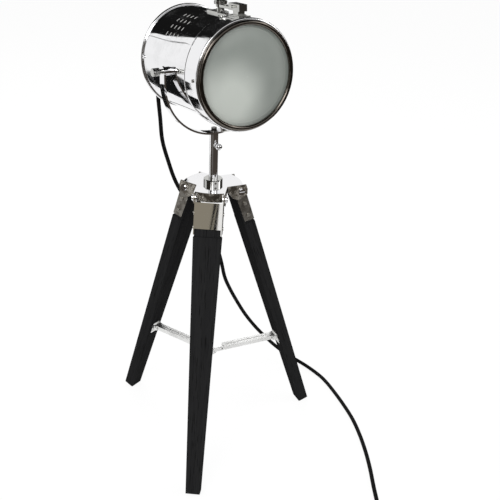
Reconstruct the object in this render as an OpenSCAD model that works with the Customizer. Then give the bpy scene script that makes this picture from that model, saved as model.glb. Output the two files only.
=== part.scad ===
// Tripod spotlight lamp: a polished drum head in a yoke, on a short telescoping
// stem, over three tapered wooden legs braced by a folding three-arm spreader.
// Millimetres, +Z up. The floor is z = 0 and the lamp faces -Y.

/* [Drum head] */
// Outer radius of the drum shell
drum_r = 66.4; // [62:0.1:70]
// Sheet thickness of the drum shell
drum_wall = 1.2; // [0.8:0.1:1.6]
// Length of the head from its rear rim to the shoulder of the front ring
head_length = 154; // [146:1:162]
// Tilt of the head at rest, nose up
head_tilt = 3.5; // [0:0.5:8]
// How far the rims stand proud of the drum shell
rim_proud = 2.3; // [1.8:0.1:2.8]
// Radius of the rolled bead on each rim
bead_r = 1.8; // [1.4:0.1:2]
// Length of the front ring that carries the glass
ring_length = 32.4; // [28:0.1:36]
// Length of drum shell that slides into the front ring
ring_overlap = 5; // [4:0.5:6]
// Running gap between drum shell and front ring
ring_gap = 0.6; // [0.5:0.05:0.8]
// Width of the bezel between the drum shell and the glass that shows
bezel_width = 6; // [5.5:0.1:9]
// Radius of the rolled lip round the glass
lip_r = 2.9; // [2.4:0.1:3.2]
// Thickness of the front glass
glass_thickness = 3; // [2:0.5:4]
// How far the front glass bulges forward
glass_bulge = 4; // [2:0.5:5]
// How far the rear cap bulges backward
cap_bulge = 7; // [4:0.5:9]

/* [Vents] */
// Rows of vent slots on each side of the drum
vent_rows = 4; // [2:1:4]
// Slots in each row
vent_columns = 4; // [2:1:5]
// Angle between two rows of slots
vent_row_step = 9.6; // [8:0.1:11]
// Distance between two slots of a row
vent_pitch = 9.5; // [7:0.5:10]
// Length of a slot around the drum
vent_length = 5; // [3:0.5:6]
// Width of a slot
vent_width = 1.8; // [1:0.1:2.4]

/* [Yoke and stem] */
// Gap between drum shell and yoke at the tilt axis
yoke_gap = 6.3; // [5.5:0.1:8]
// Thickness of the yoke strap
yoke_thickness = 2.5; // [2:0.1:3]
// Width of the yoke strap
yoke_width = 12; // [10:0.5:14]
// Straight length of a yoke arm under the tilt axis
yoke_leg = 15; // [12:0.5:20]
// Rise of the stem from the top of the platform to the yoke
stem_rise = 70.8; // [66:0.1:76]
// Outer radius of the stem tube
stem_r = 6; // [5.5:0.1:7]
// Radius of the mast rod that telescopes in the stem tube
rod_r = 4; // [3.4:0.1:4.4]
// Radial clearance of every running fit
fit_clearance = 0.05; // [0.02:0.01:0.09]
// Outer radius of the stem collar
collar_r = 13; // [11:0.5:15]
// Height of the stem collar
collar_height = 7; // [5:0.5:9]
// Depth of the ball-headed clamp screw under the top of the stem tube
clamp_drop = 14.3; // [12:0.1:30]
// Radius of the ball on the clamp screw
ball_r = 4.5; // [3.5:0.1:5.5]
// Radius of a tilt knob
knob_r = 5; // [4:0.5:7]
// Length of a tilt knob
knob_length = 9; // [7:0.5:12]

/* [Tripod platform] */
// Height of the top of the platform over the floor
platform_height = 405; // [402:0.5:408]
// Reach of a platform lobe from the stem axis
lobe_reach = 39; // [37.5:0.5:40]
// Radius of the curved end of a lobe
lobe_end_r = 55; // [45:1:70]
// Depth of the folded rim of the platform
rim_depth = 13; // [11:0.5:13.5]
// Thickness of the platform plate
plate_thickness = 2; // [1.4:0.1:2.2]
// Sheet thickness of the rim and the hinge ears
platform_sheet = 1.4; // [1:0.1:1.6]

/* [Legs] */
// Setback of a leg hinge from the end of its lobe
hinge_setback = 5.5; // [5:0.1:6]
// Depth of the leg hinges under the top of the platform
hinge_depth = 9.5; // [9:0.1:10]
// Splay of a leg from the vertical
leg_splay = 18.4; // [17.5:0.1:19]
// Azimuth of the first leg; the others follow in thirds of a turn
leg_azimuth = -7; // [-12:1:-2]
// Thickness of a leg board
leg_thickness = 16; // [14:0.5:18]
// Width of a leg board at its foot
leg_foot_width = 20; // [16:0.5:26]
// Width of a leg board just under its cap
leg_top_width = 38; // [36:0.5:39]
// Width of the metal cap on a leg
cap_width = 38.4; // [36:0.2:39]
// Sheet thickness of the leg caps
cap_sheet = 1.2; // [0.8:0.1:1.4]
// Distance of the hinge from the outer face of the leg
hinge_inset = 6.5; // [6:0.1:7.5]
// Radius of a hinge bolt
bolt_r = 2.5; // [2:0.1:2.8]

/* [Spreader] */
// Height of the spreader pins over the floor
spreader_height = 133; // [125:0.5:145]
// Width of a spreader arm
arm_width = 11; // [9:0.5:12]
// Depth of a spreader arm
arm_depth = 6.3; // [6:0.1:6.6]
// Sheet thickness of a spreader arm
arm_sheet = 1.2; // [0.8:0.1:1.4]
// Distance of the inner arm pins from the stem axis
hub_pin_reach = 22; // [21.5:0.1:24]
// Radius of the spreader pins
spreader_pin_r = 1.3; // [1:0.1:1.4]

/* [Mains cord] */
// Radius of the cord
cord_r = 3; // [2.6:0.1:3.2]
// Mean radius of the coil
coil_mean_r = 33; // [30:1:36]
// Length of the plug pins
plug_pin_length = 19; // [17:1:20]

/* [Hidden] */
$fn = 96;
FINE = 128;
SMALL = 32;
eps = 0.01;
soft_gap = 0.3;
overshoot = 10;
slot_width = 0.9;

// Legs: 0 points right, 1 left, 2 front.
leg_turn = [leg_azimuth, leg_azimuth + 120, leg_azimuth + 240];
leg_right = 0;
leg_left = 1;
leg_front = 2;

// A leg board in its own frame: origin on the hinge, x outward, z up along the leg.
leg_outer = hinge_inset;
leg_inner = hinge_inset - leg_thickness;
leg_toe = 0.8;
hinge_reach = lobe_reach - hinge_setback;
hinge_height = platform_height - hinge_depth;
leg_length = (hinge_height + leg_inner * sin(leg_splay) + leg_toe) / cos(leg_splay);
cap_length = 52;
board_top = -8;
cap_web_top = -5.5;
cap_web_bottom = -41;
cap_flange_bottom = -49;
cap_inner_width = cap_width - 2 * cap_sheet;
cap_screw_drops = [20.5, 39.5];
cap_screw_r = 1.3;
cap_screw_head_r = 2.6;
cap_screw_head = 1.3;
cap_screw_bite = 8;
cap_tail = 1.5;
cap_shoulder = 15;
tab_r = hinge_depth - plate_thickness - 0.5;

// The lamp is placed so that the middle of its footprint is the origin.
foot_reach = hinge_reach + leg_outer * cos(leg_splay) + leg_length * sin(leg_splay);
function foot_corner(turn, side) = [
    foot_reach * cos(turn) - side * sin(turn) * leg_foot_width / 2,
    foot_reach * sin(turn) + side * cos(turn) * leg_foot_width / 2
];
feet = [for (turn = leg_turn) for (side = [-1, 1]) foot_corner(turn, side)];
feet_x = [for (foot = feet) foot[0]];
feet_y = [for (foot = feet) foot[1]];
shift = [-(min(feet_x) + max(feet_x)) / 2, -(min(feet_y) + max(feet_y)) / 2, 0];
echo(shift = shift);

// Spreader, with the arm pivots seen from a leg hinge
bracket_reach = 6.5;
bracket_sheet = 1.2;
bracket_half = arm_width / 2 + soft_gap + bracket_sheet;
bracket_ear_r = 3.6;
bracket_tail = 15;
bracket_head = 5;
rivet_head = 0.8;
bracket_rivet_r = 1.8;
bracket_rivet_side = 3.5;
arm_pivot_x = leg_inner - bracket_reach;
arm_pivot_z = (spreader_height - hinge_height - arm_pivot_x * sin(leg_splay)) / cos(leg_splay);
arm_pivot_reach = hinge_reach + arm_pivot_x * cos(leg_splay) - arm_pivot_z * sin(leg_splay);
arm_outer_end = arm_pivot_reach + 2.6;
arm_groove_width = 2;
arm_groove_depth = 0.4;
arm_groove_start = 5;
arm_groove_end = 11;
arm_tip_length = 3;
arm_tip_width = 6;
arm_inner_end = hub_pin_reach - arm_tip_length;
web_over_pin = 3;
arm_top = spreader_height + web_over_pin + arm_sheet;
arm_bottom = arm_top - arm_depth;
arm_channel = arm_width - 2 * arm_sheet;
hub_thickness = 1.6;
hub_top = spreader_height - spreader_pin_r - soft_gap;
hub_reach = arm_inner_end + 1.3;
hub_tongue = arm_channel - 2 * soft_gap;

// Platform
ear_inner = cap_width / 2 + soft_gap;
ear_outer = ear_inner + platform_sheet;
ear_reach = hinge_reach + 9;
ear_start = 14;
ear_throat = 9;
ear_chin = 12.5;
ear_lip = 8;
ear_nose = 5;
skirt_half = cap_inner_width / 2 - 1;
underside = platform_height - plate_thickness;
bolt_head_r = 5.2;
bolt_head_height = 3;
bolt_crown_r = 4;
nut_r = 10.5;
nut_height = 6;
washer_r = 12;
washer_height = 1.5;
collar_screw_turns = [-105, 15, 135];
collar_screw_r = 1.6;
collar_screw_recess = 0.6;
collar_socket_r = 0.8;
collar_socket_depth = 1.4;

// Stem and mast
yoke_base_height = platform_height + stem_rise;
mast_flange = 1;
stem_top = yoke_base_height - mast_flange;
stem_tail = 4;
stem_bottom = underside - washer_height - nut_height - stem_tail;
clamp_height = stem_top - clamp_drop;
mast_shoulder = 0.8;
mast_bottom = platform_height + 2;
stud_r = 2.5;
stud_length = 4;
cap_nut_r = 4.2;
cap_washer_r = 4.6;
cap_washer = 0.8;
yoke_seat = 0.05;
clamp_neck_r = 2;
clamp_flange_r = 3.6;
clamp_flange = 1.4;
clamp_ball_reach = stem_r + 3 + ball_r;

// Yoke
yoke_inner = drum_r + yoke_gap;
yoke_outer = yoke_inner + yoke_thickness;
yoke_centre_height = yoke_base_height + yoke_outer;
pivot_height = yoke_centre_height + yoke_leg;
yoke_end_r = yoke_width / 2 + 0.5;
cap_nut_seat = yoke_inner - sqrt(yoke_inner * yoke_inner - cap_washer_r * cap_washer_r) + yoke_seat;
trunnion_r = 5.5;
trunnion_collar_r = 8;
tilt_stud_r = 2;
knob_start = yoke_outer + soft_gap;
knob_neck = 4;
knob_neck_r = 3.2;
knob_end_wall = 3;
knob_flutes = 16;
knob_flute_r = 0.6;
tilt_stud_end = knob_start + knob_neck + knob_length - knob_end_wall;
trunnion_collar = 2.5;
thrust_gap = 0.2;

// Head, measured along the drum axis: s = 0 on the tilt axis, s > 0 to the front.
front_end = head_length / 2;
rear_end = -head_length / 2;
ring_rear = front_end - ring_length;
shell_front = ring_rear + ring_overlap;
rim_r = drum_r + rim_proud;
ring_inner_r = drum_r + ring_gap;
ring_wall = 1.2;
ring_r = ring_inner_r + ring_wall;
window_r = drum_r - bezel_width;
lip_centre_r = window_r + lip_r;
glass_r = lip_centre_r + 1.3;
cap_sheet_rear = 1.5;
cap_skirt = 6;
inner_r = drum_r - drum_wall;
cap_face = rear_end + 1.2;
cap_hub_r = 18;
cap_hub_face = cap_face - cap_bulge;
first_vent_angle = 23.5;
vent_middle = -14;

// Lamp holder and bulb along the drum axis
holder_r = 14;
holder_length = 30;
holder_start = cap_face + cap_sheet_rear + 8;
base_r = 6.9;
bulb_start = holder_start + holder_length + 2;
bulb_r = 20;
bulb_centre = bulb_start + bulb_r + 6;
bulb_wall = 1;
reflector_rim = 30;
reflector_sheet = 1;

// Latch on top and hinge under the front ring
latch_s = 16;
latch_plate = 2.4;
latch_width = 16;
latch_post_r = 2.5;
latch_arm_height = 8;
latch_arm_thick = 3;
latch_arm_width = 9;
latch_arm_end = 64;
latch_knob_r = 8.2;
latch_knob_height = 3.5;
latch_knob_flute_r = 0.9;
latch_post_top = latch_arm_height + latch_arm_thick + latch_knob_height - 1;
latch_base_rear = -5;
latch_base_front = 22;
latch_boss_r = 4.6;
latch_rivets = [[-5, -2], [5, -2], [-5, 19], [5, 19]];
latch_rivet_r = 1.6;
latch_nose_width = 11;
latch_nose_height = 8;
latch_nose_start = 44;
latch_nose_end = 69;
latch_pin_r = 1.6;
catch_plate = 1.6;
catch_width = 16;
catch_post_width = 9;
catch_post_length = 12;
catch_s = 59;
catch_top = latch_arm_height - soft_gap;
hinge_drop = ring_r + 4.2;
hinge_s = ring_rear - 3;
hinge_r = 3.4;
hinge_pin_r = 1.5;
hinge_width = 26;
hinge_leaf_start = 18;
hinge_plate = 2;
hinge_head_r = 2.6;
hinge_head = 2;
eye_width = 10;
eye_plate_width = 16;
eye_plate_length = 14;

// Cord outlet
gland_r = 8;
gland_length = 7;
relief_length = 30;
relief_base_r = 6;
relief_tip_wall = 0.8;
relief_ribs = 5;
relief_rib = 0.6;
rib_edges = [0.15, 0.2, 0.8, 0.85];
relief_tip_r = cord_r + relief_tip_wall;
gland_face = cap_hub_face - gland_length;
relief_tip = gland_face - relief_length;

// Route of the cord from the tip of the strain relief to the switch on the floor.
function head_point(x, s, up) = [
    x,
    -s * cos(head_tilt) + up * sin(head_tilt),
    pivot_height + s * sin(head_tilt) + up * cos(head_tilt)
];
hanging_route = [
    head_point(0, relief_tip, 0), head_point(0, relief_tip - 8, 0),
    [0, 137, 556], [-1, 151, 549], [-1, 162, 535], [-1, 168, 513], [0, 168, 480], [0, 162, 449],
    [0, 156, 417], [6, 150, 386], [16, 144, 351], [32, 137, 319], [50, 130, 291], [65, 123, 264],
    [76, 118, 237], [83, 115, 210], [89, 113, 181], [98, 111, 158], [110, 108, 133], [125, 104, 105],
    [142, 99, 79], [159, 94, 57], [176, 87, 37], [191, 78, 22], [207, 63, 10], [218, 42, 4], [222, 12, 3]
];
floor_route = [
    [221, -12, 3], [216, -42, 3], [209, -75, 3], [199, -112, 3], [185, -148, 3],
    [168, -184, 3], [150, -217, 3], [130, -250, 3], [112, -281, 4]
];
switch_turn = -120;
switch_point = [98, -306, 7];
switch_length = 56;
switch_relief = 9;
switch_width = 26;
switch_height = 14;
switch_seam = 0.5;
rocker_length = 18;
rocker_width = 11;
rocker_pocket = 5.5;
rocker_rise = 4.6;
rocker_pin_r = 1.2;
rocker_pin_drop = 2.6;
link_length = 40;
route = concat(hanging_route, floor_route, [switch_point]);
hanging_count = len(hanging_route);
steps_per_leg = 2;
tube_sides = 10;

function along_switch(distance, height) = [
    switch_point[0] + distance * cos(switch_turn),
    switch_point[1] + distance * sin(switch_turn),
    height
];
switch_out = switch_length + 2 * switch_relief;
coil_pitch = 1.1 * 2 * cord_r;
coil_turns = 2;
coil_rings = 24;
coil_sides = 6;
coil_lead = 2 * cord_r;
coil_outer_r = coil_mean_r + coil_turns * coil_pitch / 2;
coil_start = along_switch(switch_out + link_length + coil_lead, cord_r);
coil_centre = [
    coil_start[0] - coil_outer_r * sin(switch_turn),
    coil_start[1] + coil_outer_r * cos(switch_turn),
    0
];
coil_height = cord_r + coil_pitch;
plug_turn = switch_turn + 180;
plug_face = [
    coil_centre[0] - coil_outer_r * sin(switch_turn) + coil_lead * cos(plug_turn),
    coil_centre[1] + coil_outer_r * cos(switch_turn) + coil_lead * sin(plug_turn),
    coil_height
];
plug_relief = 32;
plug_body_length = 34;
plug_body_width = 28;
plug_pin_r = 2;
plug_pin_spread = 9.5;

// Curves and sweeps

function unit(v) = v / norm(v);
function spline(a, b, c, d, t) =
    0.5 * (2 * b + (c - a) * t + (2 * a - 5 * b + 4 * c - d) * t * t
        + (3 * b - a - 3 * c + d) * t * t * t);
function above_floor(p) = [p[0], p[1], max(p[2], cord_r)];
function route_at(points, i) =
    i < 0 ? 2 * points[0] - points[1]
    : i > len(points) - 1 ? 2 * points[len(points) - 1] - points[len(points) - 2]
    : points[i];
function smooth(points, steps) = [
    for (i = [0:len(points) - 2]) for (k = [0:steps - 1])
        above_floor(spline(route_at(points, i - 1), points[i], points[i + 1],
            route_at(points, i + 2), k / steps)),
    points[len(points) - 1]
];
function tangents(points, first, last) = [
    for (i = [0:len(points) - 1])
        i == 0 ? first
        : i == len(points) - 1 ? last
        : unit(points[i + 1] - points[i - 1])
];
function ring_points(centre, tangent, radius, sides, up) = let (
    a = unit(cross(tangent, up)),
    b = cross(tangent, a)
) [for (k = [0:sides - 1]) centre + radius * (cos(360 * k / sides) * a + sin(360 * k / sides) * b)];

// A round tube along points, each ring square to its tangent.
module tube(points, directions, radius, sides, up) {
    rings = [for (i = [0:len(points) - 1]) ring_points(points[i], directions[i], radius, sides, up)];
    vertices = [for (ring = rings) for (p = ring) p];
    last = (len(points) - 1) * sides;
    walls = [
        for (i = [0:len(points) - 2]) for (k = [0:sides - 1]) for (half = [0, 1]) let (
            a = i * sides + k,
            b = i * sides + (k + 1) % sides
        ) half == 0 ? [a, a + sides, b] : [b, a + sides, b + sides]
    ];
    caps = [
        for (k = [1:sides - 2]) for (end = [0, 1])
            end == 0 ? [0, k, k + 1] : [last, last + k + 1, last + k]
    ];
    polyhedron(points = vertices, faces = concat(walls, caps), convexity = 10);
}

// Placing

module place() translate(shift) children();
module at_head() place() translate([0, 0, pivot_height]) rotate([-head_tilt, 0, 0]) children();
module along_head() at_head() rotate([90, 0, 0]) children();
module at_leg(i) place() rotate([0, 0, leg_turn[i]]) translate([hinge_reach, 0, hinge_height])
    rotate([0, -leg_splay, 0]) children();
module out_from_side(side) rotate([0, side * 90, 0]) children();
module ring(outer, inner, height) difference() {
    cylinder(r = outer, h = height);
    translate([0, 0, -1]) cylinder(r = inner, h = height + 2);
}
module slotted_screw(head_r, head_height, shank_r, shank_length) {
    difference() {
        cylinder(r = head_r, h = head_height, $fn = SMALL);
        translate([-head_r, -slot_width / 2, head_height / 2]) cube([2 * head_r, slot_width, head_height]);
    }
    translate([0, 0, -shank_length]) cylinder(r = shank_r, h = shank_length + eps, $fn = SMALL);
}

// Platform and stem

module lobe(reach_cut, half_width) intersection() {
    translate([0, -half_width]) square([lobe_reach + 1, 2 * half_width]);
    translate([lobe_reach - lobe_end_r, 0]) circle(r = lobe_end_r - reach_cut, $fn = FINE);
}
module ear_outline() polygon([
    [ear_start, platform_height - eps], [ear_reach - ear_nose / 2, platform_height - eps],
    [ear_reach, hinge_height + ear_nose / 2], [ear_reach, hinge_height - ear_nose],
    [ear_reach - ear_nose, hinge_height - ear_lip], [hinge_reach - ear_nose, hinge_height - ear_chin],
    [hinge_reach - ear_chin, hinge_height - ear_throat], [ear_start, hinge_height]
]);
module platform() color("silver") place() difference() {
    union() {
        for (turn = leg_turn) rotate([0, 0, turn]) {
            translate([0, 0, underside]) linear_extrude(height = platform_height - underside)
                lobe(0, ear_outer);
            translate([0, 0, platform_height - rim_depth]) linear_extrude(height = rim_depth)
                difference() {
                    lobe(0, skirt_half);
                    lobe(platform_sheet, 2 * ear_outer);
                }
            for (side = [-1, 1]) translate([0, side > 0 ? ear_outer : -ear_inner, 0])
                rotate([90, 0, 0]) linear_extrude(height = platform_sheet) ear_outline();
        }
    }
    translate([0, 0, underside - overshoot])
        cylinder(r = stem_r + fit_clearance, h = plate_thickness + 2 * overshoot);
    for (turn = leg_turn) rotate([0, 0, turn]) translate([hinge_reach, 0, hinge_height])
        rotate([90, 0, 0]) translate([0, 0, -ear_outer - 1])
            cylinder(r = bolt_r + fit_clearance, h = 2 * ear_outer + 2);
}
module stem_tube() color("silver") place() difference() {
    translate([0, 0, stem_bottom]) ring(stem_r, rod_r + fit_clearance, stem_top - stem_bottom);
    translate([0, 0, clamp_height]) rotate([90, 0, 0])
        cylinder(r = clamp_neck_r + fit_clearance, h = stem_r + 2);
}
module stem_collar() color("silver") place() difference() {
    translate([0, 0, platform_height]) rotate_extrude($fn = FINE) polygon([
        [stem_r + fit_clearance, 0], [collar_r, 0], [collar_r, collar_height - 1],
        [collar_r - 1, collar_height], [stem_r + fit_clearance, collar_height]
    ]);
    for (turn = collar_screw_turns) rotate([0, 0, turn])
        translate([stem_r, 0, platform_height + collar_height / 2]) rotate([0, 90, 0])
            cylinder(r = collar_screw_r, h = collar_r);
}
module collar_screws() color("dimgray") place() for (turn = collar_screw_turns) rotate([0, 0, turn])
    translate([stem_r + fit_clearance, 0, platform_height + collar_height / 2]) rotate([0, 90, 0])
        difference() {
            cylinder(r = collar_screw_r, h = collar_r - stem_r - collar_screw_recess, $fn = SMALL);
            translate([0, 0, collar_r - stem_r - collar_screw_recess - collar_socket_depth])
                cylinder(r = collar_socket_r, h = collar_socket_depth + 1, $fn = 6);
        }
module stem_nut() color("silver") place() difference() {
    union() {
        translate([0, 0, underside - washer_height]) cylinder(r = washer_r, h = washer_height);
        translate([0, 0, underside - washer_height - nut_height])
            cylinder(r = nut_r, h = nut_height, $fn = 6);
    }
    translate([0, 0, underside - 2 * overshoot]) cylinder(r = stem_r + fit_clearance, h = 3 * overshoot);
}
module hinge_bolts() color("silver") place() for (turn = leg_turn) rotate([0, 0, turn])
    translate([hinge_reach, 0, hinge_height]) rotate([90, 0, 0]) {
        translate([0, 0, -ear_outer]) cylinder(r = bolt_r, h = 2 * ear_outer);
        for (side = [0, 1]) mirror([0, 0, side]) translate([0, 0, ear_outer]) difference() {
            union() {
                cylinder(r = bolt_head_r, h = bolt_head_height / 2, $fn = SMALL);
                cylinder(r = bolt_crown_r, h = bolt_head_height, $fn = SMALL);
            }
            if (side == 0) translate([-bolt_head_r, -slot_width / 2, bolt_head_height - 1])
                cube([2 * bolt_head_r, slot_width, 2]);
        }
    }
module ball_clamp_screw() color("silver") place() translate([0, 0, clamp_height]) rotate([90, 0, 0])
    union() {
        translate([0, 0, rod_r + 2 * fit_clearance])
            cylinder(r = clamp_neck_r, h = clamp_ball_reach - rod_r, $fn = SMALL);
        translate([0, 0, stem_r + thrust_gap]) cylinder(r = clamp_flange_r, h = clamp_flange, $fn = SMALL);
        translate([0, 0, clamp_ball_reach]) sphere(r = ball_r, $fn = 48);
    }
module mast_rod() color("silver") place() union() {
    translate([0, 0, mast_bottom]) cylinder(r = rod_r, h = yoke_base_height - mast_bottom);
    translate([0, 0, yoke_base_height - mast_shoulder]) cylinder(r = stem_r, h = mast_shoulder - yoke_seat);
    translate([0, 0, yoke_base_height - mast_flange])
        cylinder(r = stud_r, h = yoke_thickness + stud_length, $fn = SMALL);
}
module mast_cap_nut() color("dimgray") place()
    translate([0, 0, yoke_base_height + yoke_thickness + cap_nut_seat]) difference() {
        union() {
            cylinder(r = cap_washer_r, h = cap_washer, $fn = SMALL);
            cylinder(r = cap_nut_r, h = stud_length + 1, $fn = 6);
        }
        translate([0, 0, -1]) cylinder(r = stud_r + fit_clearance, h = stud_length + 1);
    }
module yoke() color("silver") place() difference() {
    union() {
        rotate([90, 0, 0]) translate([0, 0, -yoke_width / 2]) linear_extrude(height = yoke_width)
            difference() {
                union() {
                    translate([0, yoke_centre_height]) circle(r = yoke_outer, $fn = FINE);
                    translate([-yoke_outer, yoke_centre_height])
                        square([2 * yoke_outer, pivot_height - yoke_centre_height]);
                }
                translate([0, yoke_centre_height]) circle(r = yoke_inner, $fn = FINE);
                translate([-yoke_inner, yoke_centre_height]) square([2 * yoke_inner, yoke_outer]);
                translate([-yoke_outer - 1, pivot_height]) square([2 * yoke_outer + 2, yoke_outer]);
            }
        for (side = [-1, 1]) translate([side * yoke_inner, 0, pivot_height]) out_from_side(side)
            cylinder(r = yoke_end_r, h = yoke_thickness);
    }
    translate([0, 0, yoke_base_height - 1]) cylinder(r = stud_r + fit_clearance, h = yoke_thickness + 2);
    for (side = [-1, 1]) translate([side * (yoke_inner - 1), 0, pivot_height]) out_from_side(side)
        cylinder(r = tilt_stud_r + fit_clearance, h = yoke_thickness + 2);
}
module tilt_knob(side) color("silver") at_head() out_from_side(side) difference() {
    union() {
        translate([0, 0, knob_start]) cylinder(r = knob_neck_r, h = knob_neck, $fn = SMALL);
        translate([0, 0, knob_start + knob_neck]) difference() {
            cylinder(r = knob_r, h = knob_length);
            for (k = [0:knob_flutes - 1]) rotate([0, 0, 360 * k / knob_flutes])
                translate([knob_r + knob_flute_r / 3, 0, -1])
                    cylinder(r = knob_flute_r, h = knob_length - 0.5, $fn = 16);
        }
    }
    translate([0, 0, knob_start - 1])
        cylinder(r = tilt_stud_r + fit_clearance, h = tilt_stud_end + soft_gap - knob_start + 1);
}
module tilt_knob_left() tilt_knob(-1);
module tilt_knob_right() tilt_knob(1);

// Legs

module leg_board(i) color("#141414") difference() {
    at_leg(i) difference() {
        union() {
            translate([leg_inner, 0, 0]) rotate([90, 0, 90]) linear_extrude(height = leg_thickness)
                polygon([
                    [-leg_foot_width / 2, -leg_length], [leg_foot_width / 2, -leg_length],
                    [leg_top_width / 2, -cap_length], [-leg_top_width / 2, -cap_length]
                ]);
            translate([leg_inner, -cap_inner_width / 2, -cap_length - 1])
                cube([leg_thickness - cap_sheet, cap_inner_width, cap_length + 1 + board_top]);
        }
        cap_screw_holes();
    }
    place() translate([-2 * foot_reach, -2 * foot_reach, -leg_foot_width])
        cube([4 * foot_reach, 4 * foot_reach, leg_foot_width]);
}
module cap_screw_holes() for (side = [-1, 1]) for (drop = cap_screw_drops)
    translate([0, side * cap_width / 2, -drop]) rotate([-side * 90, 0, 0]) translate([0, 0, -cap_screw_bite])
        cylinder(r = cap_screw_r + fit_clearance, h = cap_screw_bite + 2);
module leg_cap(i) color("silver") at_leg(i) difference() {
    union() {
        translate([leg_outer - cap_sheet, -cap_width / 2, cap_web_bottom])
            cube([cap_sheet, cap_width, cap_web_top - cap_web_bottom]);
        for (side = [-1, 1]) translate([0, side > 0 ? cap_width / 2 : -cap_inner_width / 2, 0])
            rotate([90, 0, 0]) linear_extrude(height = cap_sheet) {
                polygon([
                    [leg_outer, 0], [leg_outer, cap_flange_bottom],
                    [leg_inner + cap_tail, cap_flange_bottom + cap_tail],
                    [leg_inner + cap_tail / 3, -cap_shoulder], [-tab_r, 0]
                ]);
                circle(r = tab_r);
            }
    }
    rotate([90, 0, 0]) translate([0, 0, -cap_width]) cylinder(r = bolt_r + fit_clearance, h = 2 * cap_width);
    cap_screw_holes();
}
module cap_screws(i) color("silver") at_leg(i) for (side = [-1, 1]) for (drop = cap_screw_drops)
    translate([0, side * cap_width / 2, -drop]) rotate([-side * 90, 0, 0])
        slotted_screw(cap_screw_head_r, cap_screw_head, cap_screw_r, cap_screw_bite - 0.5);
module leg_bracket(i) color("silver") at_leg(i) translate([arm_pivot_x, 0, arm_pivot_z]) {
    translate([bracket_reach - bracket_sheet, -bracket_half, -bracket_tail])
        cube([bracket_sheet, 2 * bracket_half, bracket_tail + bracket_head]);
    for (side = [-1, 1]) translate([0, side > 0 ? bracket_half : bracket_sheet - bracket_half, 0])
        rotate([90, 0, 0]) linear_extrude(height = bracket_sheet) {
            circle(r = bracket_ear_r);
            translate([0, -bracket_ear_r]) square([bracket_reach, 2 * bracket_ear_r]);
        }
    rotate([90, 0, 0]) translate([0, 0, -bracket_half - rivet_head])
        cylinder(r = spreader_pin_r, h = 2 * (bracket_half + rivet_head), $fn = SMALL);
    for (side = [-1, 1]) translate([0, side * bracket_half, 0]) rotate([-side * 90, 0, 0])
        cylinder(r = spreader_pin_r + rivet_head, h = rivet_head, $fn = SMALL);
    for (side = [-1, 1]) translate([
        bracket_reach - bracket_sheet, side * bracket_rivet_side, bracket_rivet_side - bracket_tail
    ]) rotate([0, -90, 0]) cylinder(r = bracket_rivet_r, h = rivet_head, $fn = SMALL);
}
module leg_board_front() leg_board(leg_front);
module leg_board_left() leg_board(leg_left);
module leg_board_right() leg_board(leg_right);
module leg_cap_front() leg_cap(leg_front);
module leg_cap_left() leg_cap(leg_left);
module leg_cap_right() leg_cap(leg_right);
module cap_screws_front() cap_screws(leg_front);
module cap_screws_left() cap_screws(leg_left);
module cap_screws_right() cap_screws(leg_right);
module leg_bracket_front() leg_bracket(leg_front);
module leg_bracket_left() leg_bracket(leg_left);
module leg_bracket_right() leg_bracket(leg_right);

// Spreader

module spreader_arm(i) color("lightgray") place() rotate([0, 0, leg_turn[i]]) union() {
    difference() {
        translate([0, 0, arm_bottom]) linear_extrude(height = arm_depth) polygon([
            [arm_inner_end, -arm_tip_width / 2], [hub_pin_reach, -arm_width / 2],
            [arm_outer_end, -arm_width / 2], [arm_outer_end, arm_width / 2],
            [hub_pin_reach, arm_width / 2], [arm_inner_end, arm_tip_width / 2]
        ]);
        translate([arm_inner_end - 1, -arm_channel / 2, arm_bottom - 1])
            cube([arm_outer_end - arm_inner_end + 2, arm_channel, arm_depth - arm_sheet + 1]);
        translate([hub_pin_reach + arm_groove_start, -arm_groove_width / 2, arm_top - arm_groove_depth])
            cube([arm_outer_end - hub_pin_reach - arm_groove_start - arm_groove_end, arm_groove_width, 1]);
        translate([arm_pivot_reach, 0, spreader_height]) rotate([90, 0, 0])
            translate([0, 0, -arm_width])
                cylinder(r = spreader_pin_r + fit_clearance, h = 2 * arm_width, $fn = SMALL);
    }
    translate([hub_pin_reach, 0, spreader_height]) rotate([90, 0, 0])
        translate([0, 0, -arm_width / 2]) cylinder(r = spreader_pin_r, h = arm_width, $fn = SMALL);
}
module spreader_arm_front() spreader_arm(leg_front);
module spreader_arm_left() spreader_arm(leg_left);
module spreader_arm_right() spreader_arm(leg_right);
module spreader_hub() color("silver") place() union() {
    translate([0, 0, hub_top - hub_thickness]) linear_extrude(height = hub_thickness) {
        circle(r = hub_tongue + 1);
        for (turn = leg_turn) rotate(turn) translate([0, -hub_tongue / 2]) square([hub_reach, hub_tongue]);
    }
    translate([0, 0, hub_top - eps]) cylinder(r = 2.5, h = 1 + eps, $fn = SMALL);
}

// Head

function dome(r, bulge) = let (edge = rim_r - bead_r) cap_face
    - bulge * (1 - pow(max(r - cap_hub_r, 0) / (edge - cap_hub_r), 2));
dome_steps = [for (k = [0:8]) cap_hub_r + (rim_r - bead_r - cap_hub_r) * k / 8];
rear_screw_turns = [175, 55, -65];
rear_screw_s = rear_end + 2 * bead_r + 3;
rear_screw_r = 1.2;
rear_skirt_r = inner_r - fit_clearance;
gland_neck_r = 5;
module rear_screw_holes() for (turn = rear_screw_turns) rotate([0, 0, turn])
    translate([inner_r - 4, 0, rear_screw_s]) rotate([0, 90, 0])
        cylinder(r = rear_screw_r + fit_clearance, h = 8, $fn = SMALL);
module vents() for (side = [-1, 1]) for (row = [0:vent_rows - 1]) for (column = [0:vent_columns - 1])
    rotate([0, 0, 90 + side * (first_vent_angle + row * vent_row_step)])
        translate([inner_r - 3, -vent_length / 2,
            vent_middle + (column - (vent_columns - 1) / 2) * vent_pitch - vent_width / 2])
            cube([6, vent_length, vent_width]);
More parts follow.
